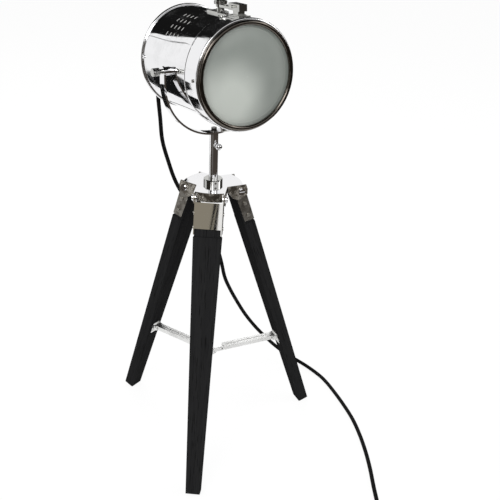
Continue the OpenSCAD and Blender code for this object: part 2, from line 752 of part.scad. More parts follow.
module drum_shell() color("silver") along_head() difference() {
    translate([0, 0, rear_end + 2 * bead_r + fit_clearance])
        ring(drum_r, inner_r, shell_front - rear_end - 2 * bead_r - fit_clearance, $fn = FINE);
    vents();
    for (side = [-1, 1]) out_from_side(side) translate([0, 0, inner_r - 4])
        cylinder(r = trunnion_r + fit_clearance, h = 8);
    rear_screw_holes();
}
module rear_cap() color("silver") along_head() difference() {
    union() {
        rotate_extrude($fn = FINE) polygon(concat(
            [[0, cap_hub_face]],
            [for (r = dome_steps) [r, dome(r, cap_bulge)]],
            [for (k = [8:-1:0]) [dome_steps[k], dome(dome_steps[k], cap_bulge) + cap_sheet_rear]],
            [[0, cap_hub_face + cap_sheet_rear]]
        ));
        rotate_extrude($fn = FINE) translate([rim_r - bead_r, rear_end + bead_r])
            circle(r = bead_r, $fn = 48);
        translate([0, 0, rear_end + bead_r])
            ring(rear_skirt_r, rear_skirt_r - cap_sheet_rear, bead_r + cap_skirt, $fn = FINE);
    }
    translate([0, 0, cap_hub_face - 2]) cylinder(r = gland_neck_r + fit_clearance, h = 6);
    rear_screw_holes();
}
module rear_cap_screws() color("silver") along_head() for (turn = rear_screw_turns) rotate([0, 0, turn])
    translate([drum_r, 0, rear_screw_s]) rotate([0, 90, 0]) slotted_screw(2.4, 1.3, rear_screw_r, 3.2);
module trunnions() color("silver") along_head() for (side = [-1, 1]) out_from_side(side) {
    seat = sqrt(inner_r * inner_r - trunnion_collar_r * trunnion_collar_r) - fit_clearance;
    translate([0, 0, seat - trunnion_collar]) cylinder(r = trunnion_collar_r, h = trunnion_collar);
    translate([0, 0, seat - 1]) cylinder(r = trunnion_r, h = yoke_inner - thrust_gap - seat + 1);
    translate([0, 0, seat]) cylinder(r = tilt_stud_r, h = tilt_stud_end - seat);
}
module holder_bracket() color("gray") along_head() {
    inner_face = cap_hub_face + cap_sheet_rear;
    plate = 1.5;
    translate([0, 0, holder_start - plate]) ring(holder_r + 3, 4, plate);
    for (turn = [0, 180]) rotate([0, 0, turn]) translate([holder_r - 2, 0, inner_face])
        cylinder(r = 2.5, h = holder_start - plate - inner_face + eps, $fn = SMALL);
}
module lamp_holder() color("ivory") along_head() translate([0, 0, holder_start]) difference() {
    union() {
        cylinder(r = holder_r, h = holder_length);
        cylinder(r = holder_r + 1.2, h = 4);
    }
    translate([0, 0, 4]) cylinder(r = base_r + 0.4, h = holder_length);
}
module bulb_base() color("silver") along_head() translate([0, 0, holder_start + 4 + soft_gap]) union() {
    cylinder(r = 2.4, h = 2, $fn = SMALL);
    translate([0, 0, 1.9]) cylinder(r1 = 3.5, r2 = base_r, h = 3);
    translate([0, 0, 4.8]) cylinder(r = base_r, h = bulb_start - holder_start - 8.8 - soft_gap);
}
module bulb_glass() color("white") along_head() rotate_extrude($fn = FINE) difference() {
    bulb_outline(0);
    bulb_outline(bulb_wall);
}
module bulb_outline(inset) intersection() {
    union() {
        translate([0, bulb_centre]) circle(r = bulb_r - inset);
        polygon([
            [0, bulb_start - inset], [base_r - inset, bulb_start - inset],
            [base_r + 0.5 - inset, bulb_start + 3], [bulb_r * 0.72 - inset, bulb_centre - bulb_r * 0.65],
            [0, bulb_centre]
        ]);
    }
    translate([0, bulb_start - 2]) square([bulb_r + 1, 2 * bulb_r + 12]);
}
reflector_start = holder_start + 20;
reflector_hole_r = holder_r + 1.5;
reflector_rim_r = inner_r - 1.5;
reflector_power = pow(reflector_rim_r / reflector_hole_r, 2);
reflector_focus = (reflector_power * reflector_start - reflector_rim) / (reflector_power - 1);
function bowl(s) = reflector_rim_r * sqrt((s - reflector_focus) / (reflector_rim - reflector_focus));
bowl_steps = [for (k = [0:10]) reflector_start + (reflector_rim - reflector_start) * k * k / 100];
module reflector() color("silver") along_head() rotate_extrude($fn = FINE) polygon(concat(
    [for (s = bowl_steps) [bowl(s), s]],
    [[inner_r - fit_clearance, reflector_rim], [inner_r - fit_clearance, reflector_rim + reflector_sheet]],
    [for (k = [10:-1:0]) [bowl(bowl_steps[k]) - reflector_sheet, bowl_steps[k] + reflector_sheet * 0.7]]
));
module cord_gland() color("#202020") along_head() union() {
    translate([0, 0, gland_face]) cylinder(r = gland_r, h = gland_length - eps, $fn = FINE);
    translate([0, 0, gland_face + 1]) cylinder(r = gland_neck_r, h = gland_length + cap_sheet_rear + 3);
    translate([0, 0, cap_hub_face + cap_sheet_rear]) cylinder(r = gland_r - 0.5, h = 3, $fn = 6);
}
module strain_relief() color("#202020") along_head() rotate_extrude() polygon(concat(
    [[0, relief_tip], [relief_tip_r, relief_tip]],
    [for (k = [0:relief_ribs - 1]) for (edge = [0, 1, 2, 3]) let (
        along = (k + rib_edges[edge]) / relief_ribs,
        body = relief_tip_r + (relief_base_r - relief_tip_r) * along
    ) [body + (edge == 1 || edge == 2 ? relief_rib : 0), relief_tip + along * relief_length]],
    [[relief_base_r, gland_face], [0, gland_face]]
));

// Latch on top of the head; here x runs across, y up and z to the front

module latch_base() color("silver") along_head() union() {
    difference() {
        translate([-latch_width / 2, drum_r - 2, latch_base_rear])
            cube([latch_width, latch_plate + 2, latch_base_front - latch_base_rear]);
        cylinder(r = drum_r, h = head_length, center = true, $fn = FINE);
    }
    translate([0, drum_r + latch_plate - eps, latch_s]) rotate([-90, 0, 0]) {
        cylinder(r = latch_boss_r, h = latch_arm_height - latch_plate - thrust_gap, $fn = SMALL);
        cylinder(r = latch_post_r, h = latch_post_top - latch_plate, $fn = SMALL);
    }
    for (at = latch_rivets) translate([at[0], drum_r + latch_plate - eps, at[1]]) rotate([-90, 0, 0])
        cylinder(r = latch_rivet_r, h = rivet_head, $fn = SMALL);
}
module latch_arm() color("silver") along_head() difference() {
    union() {
        translate([0, drum_r + latch_arm_height, latch_s]) rotate([-90, 0, 0])
            cylinder(r = latch_arm_width / 2 + 1.5, h = latch_arm_thick);
        translate([-latch_arm_width / 2, drum_r + latch_arm_height, latch_s])
            cube([latch_arm_width, latch_arm_thick, latch_arm_end - latch_s]);
        translate([-latch_nose_width / 2, drum_r + latch_arm_height, latch_nose_start])
            cube([latch_nose_width, latch_nose_height, latch_nose_end - latch_nose_start]);
        translate([
            0, drum_r + latch_arm_height + latch_nose_height - 2 * latch_pin_r,
            (latch_nose_start + latch_nose_end) / 2
        ]) rotate([0, 90, 0])
            cylinder(r = latch_pin_r, h = latch_nose_width + 8, center = true, $fn = SMALL);
    }
    translate([0, drum_r, latch_s]) rotate([-90, 0, 0])
        cylinder(r = latch_post_r + fit_clearance, h = 30, $fn = SMALL);
}
module latch_knob() color("silver") along_head()
    translate([0, drum_r + latch_arm_height + latch_arm_thick + soft_gap, latch_s]) rotate([-90, 0, 0])
        difference() {
            union() {
                cylinder(r = latch_knob_r, h = latch_knob_height);
                cylinder(r = latch_knob_r - 1.5, h = latch_knob_height + 0.8);
            }
            for (k = [0:knob_flutes - 1]) rotate([0, 0, 360 * k / knob_flutes])
                translate([latch_knob_r + latch_knob_flute_r / 3, 0, -1])
                    cylinder(r = latch_knob_flute_r, h = latch_knob_height + 3, $fn = 16);
            translate([0, 0, -1])
                cylinder(r = latch_post_r + fit_clearance, h = latch_knob_height, $fn = SMALL);
        }
module latch_catch() color("silver") along_head() difference() {
    union() {
        translate([-catch_width / 2, ring_r - 2, ring_rear + 2 * bead_r + 0.5])
            cube([catch_width, catch_plate + 2, ring_length - 4 * bead_r - 1]);
        translate([-catch_post_width / 2, ring_r - 2, catch_s - catch_post_length / 2])
            cube([catch_post_width, drum_r + catch_top - ring_r + 2, catch_post_length]);
    }
    cylinder(r = ring_r, h = 2 * head_length, center = true, $fn = FINE);
}

// Hinge under the head

hinge_x = eye_width / 2 + soft_gap;
module along_hinge(from, to) translate([from, -hinge_drop, hinge_s]) rotate([0, 90, 0])
    linear_extrude(height = to - from) children();
module hinge_leaf() color("silver") along_head() difference() {
    union() {
        translate([-hinge_width / 2, -drum_r - hinge_plate, hinge_leaf_start])
            cube([hinge_width, 2 * hinge_plate, hinge_s - hinge_r - 0.6 - hinge_leaf_start]);
        for (side = [-1, 1]) {
            start = side > 0 ? hinge_x : -hinge_width / 2;
            translate([start, -hinge_drop, hinge_s - 8])
                cube([hinge_width / 2 - hinge_x, hinge_drop - drum_r + 1, 8]);
            along_hinge(start, start + hinge_width / 2 - hinge_x) circle(r = hinge_r);
        }
    }
    cylinder(r = drum_r, h = 2 * head_length, center = true, $fn = FINE);
    along_hinge(-hinge_width, hinge_width) circle(r = hinge_pin_r + fit_clearance, $fn = SMALL);
}
module hinge_pin() color("dimgray") along_head() {
    along_hinge(-hinge_width / 2 - 1, hinge_width / 2 + 1) circle(r = hinge_pin_r, $fn = SMALL);
    for (side = [0, 1]) mirror([side, 0, 0])
        along_hinge(hinge_width / 2 + thrust_gap, hinge_width / 2 + thrust_gap + hinge_head)
            circle(r = hinge_head_r, $fn = SMALL);
}
module ring_hinge_eye() color("silver") along_head() difference() {
    union() {
        along_hinge(-eye_width / 2, eye_width / 2) circle(r = hinge_r);
        translate([-eye_width / 2, -hinge_drop - 1, hinge_s]) cube([eye_width, hinge_drop - ring_r + 3, 9]);
        translate([-eye_plate_width / 2, -ring_r - catch_plate, ring_rear + 2 * bead_r + 0.5])
            cube([eye_plate_width, 2 * catch_plate, eye_plate_length]);
    }
    cylinder(r = ring_r, h = 2 * head_length, center = true, $fn = FINE);
    translate([0, 0, ring_rear - 10]) cylinder(r = rim_r + soft_gap, h = 10 + 2 * bead_r, $fn = FINE);
    along_hinge(-eye_width, eye_width) circle(r = hinge_pin_r + fit_clearance, $fn = SMALL);
}

// Front ring

shoulder_back = front_end - ring_wall;
lip_flat = 0.3;
lip_s = shoulder_back + lip_r - lip_flat;
gasket_thickness = 1;
glass_front = shoulder_back - gasket_thickness;
retainer_r = ring_inner_r - fit_clearance;
retainer_flange = 1.5;
retainer_tail = 2.4;
ring_screw_turns = [60, 180, 300];
ring_screw_s = front_end - 9.1;
ring_screw_head_r = 2;
module ring_screw_holes() for (turn = ring_screw_turns) rotate([0, 0, turn])
    translate([glass_r + 0.5, 0, ring_screw_s]) rotate([0, 90, 0])
        cylinder(r = 1 + fit_clearance, h = 8, $fn = SMALL);
module front_ring() color("silver") along_head() difference() {
    rotate_extrude($fn = FINE) difference() {
        union() {
            translate([ring_inner_r, ring_rear]) square([ring_wall, ring_length - bead_r]);
            for (s = [ring_rear + bead_r, front_end - bead_r])
                translate([rim_r - bead_r, s]) circle(r = bead_r, $fn = 48);
            translate([lip_centre_r, shoulder_back - 1])
                square([rim_r - bead_r - lip_centre_r, ring_wall + 1]);
            translate([lip_centre_r, lip_s]) circle(r = lip_r, $fn = 48);
        }
        translate([0, ring_rear - 1]) square([ring_inner_r, shoulder_back - ring_rear + 1]);
    }
    ring_screw_holes();
}
module front_glass() color("#c3cdc8") along_head() rotate_extrude($fn = FINE) polygon(concat(
    [for (k = [0:12]) [window_r * k / 12, glass_front + glass_bulge * (1 - pow(k / 12, 2))]],
    [[glass_r, glass_front], [glass_r, glass_front - glass_thickness]],
    [for (k = [12:-1:0]) [window_r * k / 12,
        glass_front - glass_thickness + glass_bulge * (1 - pow(k / 12, 2))]]
));
module glass_gasket() color("#1a1a1a") along_head() translate([0, 0, glass_front])
    ring(glass_r + 0.8, lip_centre_r - 0.2, gasket_thickness, $fn = FINE);
module glass_retainer() color("silver") along_head() difference() {
    union() {
        translate([0, 0, glass_front - glass_thickness - retainer_flange])
            ring(retainer_r, window_r + 0.5, retainer_flange, $fn = FINE);
        translate([0, 0, ring_screw_s - retainer_tail])
            ring(retainer_r, glass_r + 1, glass_front - ring_screw_s + retainer_tail, $fn = FINE);
    }
    ring_screw_holes();
}
module ring_screws() color("dimgray") along_head() for (turn = ring_screw_turns) rotate([0, 0, turn])
    translate([ring_r, 0, ring_screw_s]) rotate([0, 90, 0])
        slotted_screw(ring_screw_head_r, 1.2, 1, ring_r - glass_r - 1.4);

// Mains cord, in-line switch and plug

whole = smooth(route, steps_per_leg);
head_out = unit(head_point(0, relief_tip - 1, 0) - head_point(0, relief_tip, 0));
switch_in = [cos(switch_turn), sin(switch_turn), 0];
whole_tangents = tangents(whole, head_out, switch_in);
split = steps_per_leg * (hanging_count - 1);
module cord_part(from, to) tube(
    [for (i = [from:to]) whole[i]], [for (i = [from:to]) whole_tangents[i]], cord_r, tube_sides, [1, 0, 0]
);
module cord_hanging() color("#101010") place() cord_part(0, split);
module cord_on_floor() color("#101010") place() cord_part(split, len(whole) - 1);
link_points = [for (k = [0:5]) let (t = k / 5) along_switch(switch_out + link_length * t,
    switch_point[2] + (cord_r - switch_point[2]) * t * t * (3 - 2 * t))];
module cord_link() color("#101010") place()
    tube(link_points, tangents(link_points, switch_in, switch_in), cord_r, tube_sides, [1, 0, 0]);

function coil_point(turns) = let (
    inside = coil_turns + 0.5,
    radius = turns < coil_turns ? coil_outer_r - coil_pitch * turns
        : turns < inside ? coil_outer_r - coil_pitch * coil_turns
            - coil_pitch / 4 * sin(360 * (turns - coil_turns))
        : coil_outer_r - coil_pitch * (coil_turns - turns + inside),
    climb = turns < coil_turns ? 0 : turns < inside ? 2 * (turns - coil_turns) : 1,
    angle = switch_turn - 90 + 360 * turns
) [coil_centre[0] + radius * cos(angle), coil_centre[1] + radius * sin(angle), cord_r + coil_pitch * climb];
coil_count = (2 * coil_turns + 0.5) * coil_rings;
coil_loops = [for (i = [0:coil_count]) coil_point(i / coil_rings)];
coil_points = concat(
    [along_switch(switch_out + link_length, cord_r)],
    coil_loops,
    [plug_face]
);
module cord_coil() color("#101010") place()
    tube(coil_points, tangents(coil_points, switch_in, -switch_in), cord_r, coil_sides, [0, 0, 1]);
least_coil_gap = min([
    for (i = [0:coil_count]) for (j = [i + coil_rings / 2:coil_count]) norm(coil_loops[i] - coil_loops[j])
]) - 2 * cord_r;
echo(least_coil_gap = least_coil_gap);

module at_switch() place() translate([switch_point[0], switch_point[1], 0]) rotate([0, 0, switch_turn])
    children();
module switch_outline(inset) {
    half = switch_width / 2;
    translate([switch_relief + half, 0]) circle(r = half - inset);
    translate([switch_relief + switch_length - half, 0]) circle(r = half - inset);
    translate([switch_relief + half, -half + inset])
        square([switch_length - switch_width, switch_width - 2 * inset]);
}
module inline_switch() color("#161616") at_switch() difference() {
    union() {
        linear_extrude(height = switch_height - 1) switch_outline(0);
        linear_extrude(height = switch_height) switch_outline(1);
        for (end = [0, switch_out - switch_relief - 2]) translate([end, 0, switch_point[2]])
            rotate([0, 90, 0]) cylinder(r = cord_r + 1.4, h = switch_relief + 2);
    }
    translate([0, 0, switch_point[2] - switch_seam / 2]) linear_extrude(height = switch_seam) difference() {
        switch_outline(-1);
        switch_outline(switch_seam);
    }
    translate([switch_out / 2 - rocker_length / 2 - soft_gap, -rocker_width / 2 - soft_gap,
        switch_height - rocker_pocket])
        cube([rocker_length + 2 * soft_gap, rocker_width + 2 * soft_gap, rocker_pocket + 1]);
    translate([switch_out / 2, 0, switch_height - rocker_pin_drop]) rotate([90, 0, 0])
        translate([0, 0, -rocker_width / 2 - 2])
            cylinder(r = rocker_pin_r + fit_clearance, h = rocker_width + 4, $fn = SMALL);
}
module switch_rocker() color("#242424") at_switch()
    translate([switch_out / 2, 0, switch_height - rocker_pin_drop]) rotate([90, 0, 0]) {
        translate([0, 0, -rocker_width / 2]) linear_extrude(height = rocker_width) polygon([
            [-rocker_length / 2 + 0.6, 1], [-rocker_length / 2 + 0.4, rocker_rise], [0, rocker_rise - 1.2],
            [rocker_length / 2 - 0.4, rocker_rise], [rocker_length / 2 - 0.6, 1], [0, -1.6]
        ]);
        translate([0, 0, -rocker_width / 2 - 1.5])
            cylinder(r = rocker_pin_r, h = rocker_width + 3, $fn = SMALL);
    }
module plug() color("#161616") place() translate(plug_face) rotate([0, 0, plug_turn]) {
    rotate([0, 90, 0]) rotate_extrude() polygon(concat(
        [[0, 0], [relief_tip_r, 0]],
        [for (k = [0:relief_ribs - 1]) for (edge = [0, 1, 2, 3]) let (
            along = (k + rib_edges[edge]) / relief_ribs,
            body = relief_tip_r + (relief_base_r - relief_tip_r) * along
        ) [body + (edge == 1 || edge == 2 ? relief_rib : 0), along * plug_relief]],
        [[relief_base_r, plug_relief + 1], [0, plug_relief + 1]]
    ));
    translate([plug_relief, 0, 0]) rotate([90, 0, 90]) linear_extrude(height = plug_body_length) {
        spread = plug_body_width / 2 - coil_height;
        for (side = [-1, 1]) translate([side * spread, 0]) circle(r = coil_height);
        translate([-spread, -coil_height]) square([2 * spread, 2 * coil_height]);
    }
    for (side = [-1, 1]) translate([plug_relief + plug_body_length - 1, side * plug_pin_spread, 0])
        rotate([0, 90, 0]) union() {
            cylinder(r = plug_pin_r, h = plug_pin_length);
            translate([0, 0, plug_pin_length]) cylinder(r1 = plug_pin_r, r2 = 0.7 * plug_pin_r, h = 1);
        }
}

platform();
stem_tube();
stem_collar();
collar_screws();
stem_nut();
hinge_bolts();
ball_clamp_screw();
mast_rod();
mast_cap_nut();
yoke();
tilt_knob_left();
tilt_knob_right();
leg_board_front();
leg_board_left();
leg_board_right();
leg_cap_front();
leg_cap_left();
leg_cap_right();
cap_screws_front();
cap_screws_left();
cap_screws_right();
leg_bracket_front();
leg_bracket_left();
leg_bracket_right();
spreader_arm_front();
spreader_arm_left();
spreader_arm_right();
spreader_hub();
drum_shell();
rear_cap();
rear_cap_screws();
trunnions();
holder_bracket();
lamp_holder();
bulb_base();
bulb_glass();
reflector();
latch_base();
latch_arm();
latch_knob();
hinge_leaf();
hinge_pin();
front_ring();
front_glass();
glass_gasket();
glass_retainer();
ring_screws();
ring_hinge_eye();
latch_catch();
cord_gland();
strain_relief();
cord_hanging();
cord_on_floor();
inline_switch();
switch_rocker();
cord_link();
cord_coil();
plug();
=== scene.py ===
# %% [markdown]
# # Dressing a tripod spotlight lamp
#
# The lamp's construction comes in as a fixed frame: every plate, tube, screw and board is
# already there at its real size. What is left to make is how it looks: nickel and chrome,
# stained wood, frosted glass, the mains cord, the studio round it and the camera.
# Everything is in metres, with the floor at z = 0 and the lamp facing -Y.

# %% Load the frame
import math

import bmesh
import bpy
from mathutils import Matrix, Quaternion, Vector


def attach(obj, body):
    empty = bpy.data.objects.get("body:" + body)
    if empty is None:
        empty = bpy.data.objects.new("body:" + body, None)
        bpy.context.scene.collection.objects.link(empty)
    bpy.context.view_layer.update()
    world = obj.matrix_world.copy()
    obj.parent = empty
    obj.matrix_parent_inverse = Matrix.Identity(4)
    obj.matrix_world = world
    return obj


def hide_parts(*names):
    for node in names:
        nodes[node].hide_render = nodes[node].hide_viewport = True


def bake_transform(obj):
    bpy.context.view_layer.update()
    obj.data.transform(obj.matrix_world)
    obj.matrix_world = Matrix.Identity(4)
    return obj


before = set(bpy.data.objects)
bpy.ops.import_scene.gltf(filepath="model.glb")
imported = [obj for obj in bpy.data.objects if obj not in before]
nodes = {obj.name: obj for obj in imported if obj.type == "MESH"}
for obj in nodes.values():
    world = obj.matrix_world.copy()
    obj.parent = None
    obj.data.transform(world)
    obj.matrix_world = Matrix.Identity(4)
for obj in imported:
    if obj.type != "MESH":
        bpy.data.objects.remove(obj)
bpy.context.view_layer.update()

# %% [markdown]
# ## The camera
#
# The photograph looks down on the lamp from the front left. A camera can be set by hand in
# the viewport, aimed with a Track To constraint, or given a place, a direction and a roll.
# The last is the one that repeats exactly, so that is how it is done: the direction turns
# into a rotation with to_track_quat, and the small roll is one more turn about the lens.

# %% The camera
MM = 0.001
CAMERA_PLACE = Vector((-547.5, -916.9, 831.7)) * MM
CAMERA_HEADING = math.radians(32.65)
CAMERA_DOWN = math.radians(26.82)
CAMERA_ROLL = math.radians(2.28)
LENS_MM = 59.33
SENSOR_MM = 36
FARTHEST_SEEN = 50

lens_axis = Vector((
    math.sin(CAMERA_HEADING) * math.cos(CAMERA_DOWN),
    math.cos(CAMERA_HEADING) * math.cos(CAMERA_DOWN),
    -math.sin(CAMERA_DOWN),
))
camera = bpy.data.objects.new("camera", bpy.data.cameras.new("camera"))
bpy.context.scene.collection.objects.link(camera)
camera.location = CAMERA_PLACE
camera.rotation_mode = "QUATERNION"
camera.rotation_quaternion = lens_axis.to_track_quat("-Z", "Y") @ Quaternion((0, 0, 1), CAMERA_ROLL)
camera.data.lens = LENS_MM
camera.data.sensor_width = SENSOR_MM
camera.data.clip_end = FARTHEST_SEEN
bpy.context.scene.camera = camera
print("camera:", [round(x, 3) for x in camera.location], "lens", LENS_MM, "mm")

# %% [markdown]
# ## The mains cord
#
# A round black flex leaves the strain relief behind the head, hangs in one long curve past
# the legs, lies over the floor to an in-line switch and ends in a neat coil and a plug.
# A bevelled curve would be the quickest way to draw it. Here one smooth line is made first, a mesh
# tube is swept along it, and the tube is cut into stretches at the joints.

# %% The points that the cord follows
CORD_R = 3 * MM
FRAME_SHIFT = Vector((-29.93, -9.33, 0)) * MM
PIVOT = FRAME_SHIFT + Vector((0, 0, 566)) * MM
HEAD_TILT = math.radians(3.5)
forward = Vector((0, -math.cos(HEAD_TILT), math.sin(HEAD_TILT)))
upward = Vector((0, math.sin(HEAD_TILT), math.cos(HEAD_TILT)))
RELIEF_TIP = -119.8 * MM
STRAIGHT_OUT = 8 * MM
SWITCH_TURN = math.radians(-120)
SWITCH_POINT = FRAME_SHIFT + Vector((98, -306, 7)) * MM
SWITCH_OUT = 74 * MM
LINK = 40 * MM

free_route = [
    (0, 137, 556), (-1, 151, 549), (-1, 162, 535), (-1, 168, 513), (0, 168, 480), (0, 162, 449),
    (0, 156, 417), (6, 150, 386), (16, 144, 351), (32, 137, 319), (50, 130, 291), (65, 123, 264),
    (76, 118, 237), (83, 115, 210), (89, 113, 181), (98, 111, 158), (110, 108, 133), (125, 104, 105),
    (142, 99, 79), (159, 94, 57), (176, 87, 37), (191, 78, 22), (207, 63, 10), (218, 42, 4),
    (222, 12, 3), (221, -12, 3), (216, -42, 3), (209, -75, 3), (199, -112, 3), (185, -148, 3),
    (168, -184, 3), (150, -217, 3), (130, -250, 3), (112, -281, 4),
]
relief_tip = PIVOT + forward * RELIEF_TIP
route = [relief_tip, relief_tip - forward * STRAIGHT_OUT]
route += [FRAME_SHIFT + Vector(p) * MM for p in free_route]
route += [SWITCH_POINT]
print("cord route:", len(route), "points chosen by hand")

# %% [markdown]
# Straight stretches between those points would show as kinks, and a spline that only comes near
# its points would move the route. This cubic spline passes through each point and only fills in
# between. Nothing may sink into the floor, so the line stays half a cord's thickness above it.

# %% A smooth line through the points
def spline_point(a, b, c, d, t):
    """A point on the spline between b and c, at t from 0 to 1. a and d are their neighbours."""
    return 0.5 * (2 * b + (c - a) * t + (2 * a - 5 * b + 4 * c - d) * t * t
                  + (3 * b - a - 3 * c + d) * t ** 3)


def smooth_line(points, steps):
    ends = [2 * points[0] - points[1]] + points + [2 * points[-1] - points[-2]]
    line = []
    for a, b, c, d in zip(ends, ends[1:], ends[2:], ends[3:]):
        line += [spline_point(a, b, c, d, k / steps) for k in range(steps)]
    line.append(points[-1])
    for p in line:
        p.z = max(p.z, CORD_R)
    return line


SPLINE_STEPS = 5
hanging_line = smooth_line(route, SPLINE_STEPS)
print("smooth line:", len(hanging_line), "points")

# %% [markdown]
# The stored length is a coil of two layers. Its turns come from a rule and not from a list: the
# lower layer spirals in by a little more than one cord diameter a turn, the upper layer spirals
# out again, and the cord climbs from one to the other in the half turn where it turns round.

# %% The coil and its lead
COIL_MEAN_R = 33 * MM
COIL_PITCH = 1.1 * 2 * CORD_R
COIL_TURNS = 2
CLIMB_TURNS = 0.5
COIL_STEPS = 36
COIL_LEAD = 2 * CORD_R
LINK_STEPS = 10

switch_ahead = Vector((math.cos(SWITCH_TURN), math.sin(SWITCH_TURN), 0))
switch_left = Vector((-switch_ahead.y, switch_ahead.x, 0))
coil_outer_r = COIL_MEAN_R + COIL_TURNS * COIL_PITCH / 2
coil_start = SWITCH_POINT + switch_ahead * (SWITCH_OUT + LINK + COIL_LEAD)
coil_centre = coil_start + switch_left * coil_outer_r
coil_centre.z = 0


def coil_point(turns):
    """The middle of the cord after so many turns of the coil."""
    inside = COIL_TURNS + CLIMB_TURNS
    if turns < COIL_TURNS:
        radius, climb = coil_outer_r - COIL_PITCH * turns, 0
    elif turns < inside:
        drift = math.sin(2 * math.pi * (turns - COIL_TURNS)) / 4
        radius = coil_outer_r - COIL_PITCH * (COIL_TURNS + drift)
        climb = (turns - COIL_TURNS) / CLIMB_TURNS
    else:
        radius, climb = coil_outer_r - COIL_PITCH * (COIL_TURNS - turns + inside), 1
    angle = SWITCH_TURN - math.pi / 2 + 2 * math.pi * turns
    flat = Vector((radius * math.cos(angle), radius * math.sin(angle), CORD_R + COIL_PITCH * climb))
    return coil_centre + flat


def link_point(share):
    """The middle of the cord between switch and coil, where it sinks smoothly to the floor."""
    drop = (CORD_R - SWITCH_POINT.z) * share * share * (3 - 2 * share)
    return SWITCH_POINT + switch_ahead * (SWITCH_OUT + LINK * share) + Vector((0, 0, drop))


last_turn = 2 * COIL_TURNS + CLIMB_TURNS
coil_line = [link_point(k / LINK_STEPS) for k in range(LINK_STEPS + 1)]
coil_line += [coil_point(k / COIL_STEPS) for k in range(int(last_turn * COIL_STEPS) + 1)]
coil_line.append(coil_line[-1] - switch_ahead * COIL_LEAD)
print("coil line:", len(coil_line), "points, outer radius", round(coil_outer_r, 4), "m")

# %% [markdown]
# Sweeping a ring along a line in code keeps the tube and its line together, and the frame can
# measure one against the other. Each ring is turned as little as possible from the one before
# it, so the tube doesn't twist where the line bends.

# %% A tube along a line
def tube(name, line, radius, sides):
    """A round tube with closed ends."""
    ahead = [(b - a).normalized() for a, b in zip(line, line[1:])]
    ahead = [ahead[0]] + [(a + b).normalized() for a, b in zip(ahead, ahead[1:])] + [ahead[-1]]
    side = ahead[0].cross(Vector((1, 0, 0))).normalized()
    vertices, faces = [], []
    for point, direction in zip(line, ahead):
        side = (side - direction * side.dot(direction)).normalized()
        other = direction.cross(side)
        for k in range(sides):
            turn = 2 * math.pi * k / sides
            vertices.append(point + radius * (math.cos(turn) * side + math.sin(turn) * other))
    for i in range(len(line) - 1):
        for k in range(sides):
            a, b = i * sides + k, i * sides + (k + 1) % sides
            faces.append((a, b, b + sides, a + sides))
    faces.append(tuple(range(sides - 1, -1, -1)))
    faces.append(tuple(range(len(vertices) - sides, len(vertices))))
    mesh = bpy.data.meshes.new(name)
    mesh.from_pydata(vertices, [], faces)
    mesh.polygons.foreach_set("use_smooth", [True] * len(mesh.polygons))
    piece = bpy.data.objects.new(name, mesh)
    bpy.context.scene.collection.objects.link(piece)
    return piece


def length_of(line):
    return sum((b - a).length for a, b in zip(line, line[1:]))


print("cord from head to switch:", round(length_of(hanging_line), 3), "m")

# %% [markdown]
# The cord is one cord in five stretches. From the head down, the first three hang past the tilt,
# the swivel and the rise of the mast in turn. The other two come down to the floor, lie there and
# ride on the stand.

# %% The cord's five stretches
CORD_SIDES = 16
TILT_ENDS = 9
SWIVEL_ENDS = 15
RISE_ENDS = 18


def stretch(name, line, **facts):
    piece = tube(name, line, CORD_R, CORD_SIDES)
    return piece


cuts = [0] + [SPLINE_STEPS * k for k in (TILT_ENDS, SWIVEL_ENDS, RISE_ENDS)] + [len(hanging_line) - 1]
parts = [hanging_line[a:b + 1] for a, b in zip(cuts, cuts[1:])]
tilting = stretch("cord_behind_head", parts[0], far_end="object", lay="hanging",
                  with_pieces=[nodes["strain_relief"]])
turning = stretch("cord_behind_stem", parts[1], far_end="object", lay="hanging")
rising = stretch("cord_past_legs", parts[2], far_end="object", lay="hanging")
lying = stretch("cord_to_switch", parts[3], far_end="fitting", lay="loose",
                with_pieces=[nodes["inline_switch"], nodes["switch_rocker"]])
coiled = stretch("cord_coiled", coil_line, far_end="plug", lay="coiled", with_pieces=[nodes["plug"]])

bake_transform(tilting)
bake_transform(turning)
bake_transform(rising)
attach(lying, "stand")
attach(coiled, "stand")
for piece in (tilting, turning, rising):
    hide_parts("cord_hanging")
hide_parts("cord_on_floor")
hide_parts("cord_link", "cord_coil")
print("cord:", [round(length_of(p), 3) for p in parts + [coil_line]], "m")

# %% [markdown]
# ## Building materials from nodes
#
# Every finish below is a small tree of shader nodes. Wiring them by hand in the shader editor
# and wiring them in code give the same tree, and the code version can be read from top to
# bottom. It needs a few helpers: one fills a node's inputs with values or links, one puts a node
# into a tree, and two open a node group with named sockets and place it.

# %% Helpers for node trees
def feed(tree, node, inputs):
    """Gives each input its value, or links it to the output socket that it is given."""
    for socket, value in inputs.items():
        if isinstance(value, bpy.types.NodeSocket):
            tree.links.new(value, node.inputs[socket])
        else:
            node.inputs[socket].default_value = value


def put(tree, kind, inputs, **settings):
    """Adds a shader node of a kind, with its settings and inputs."""
    made = tree.nodes.new("ShaderNode" + kind)
    for name, value in settings.items():
        setattr(made, name, value)
    feed(tree, made, inputs)
    return made


def new_group(name, inputs, outputs):
    """A node group with named inputs, (name, kind, value), and named outputs, (name, kind)."""
    tree = bpy.data.node_groups.new(name, "ShaderNodeTree")
    for label, kind, value in inputs:
        socket = tree.interface.new_socket(label, in_out="INPUT", socket_type="NodeSocket" + kind)
        socket.default_value = value
    for label, kind in outputs:
        tree.interface.new_socket(label, in_out="OUTPUT", socket_type="NodeSocket" + kind)
    return tree, tree.nodes.new("NodeGroupInput").outputs, tree.nodes.new("NodeGroupOutput").inputs


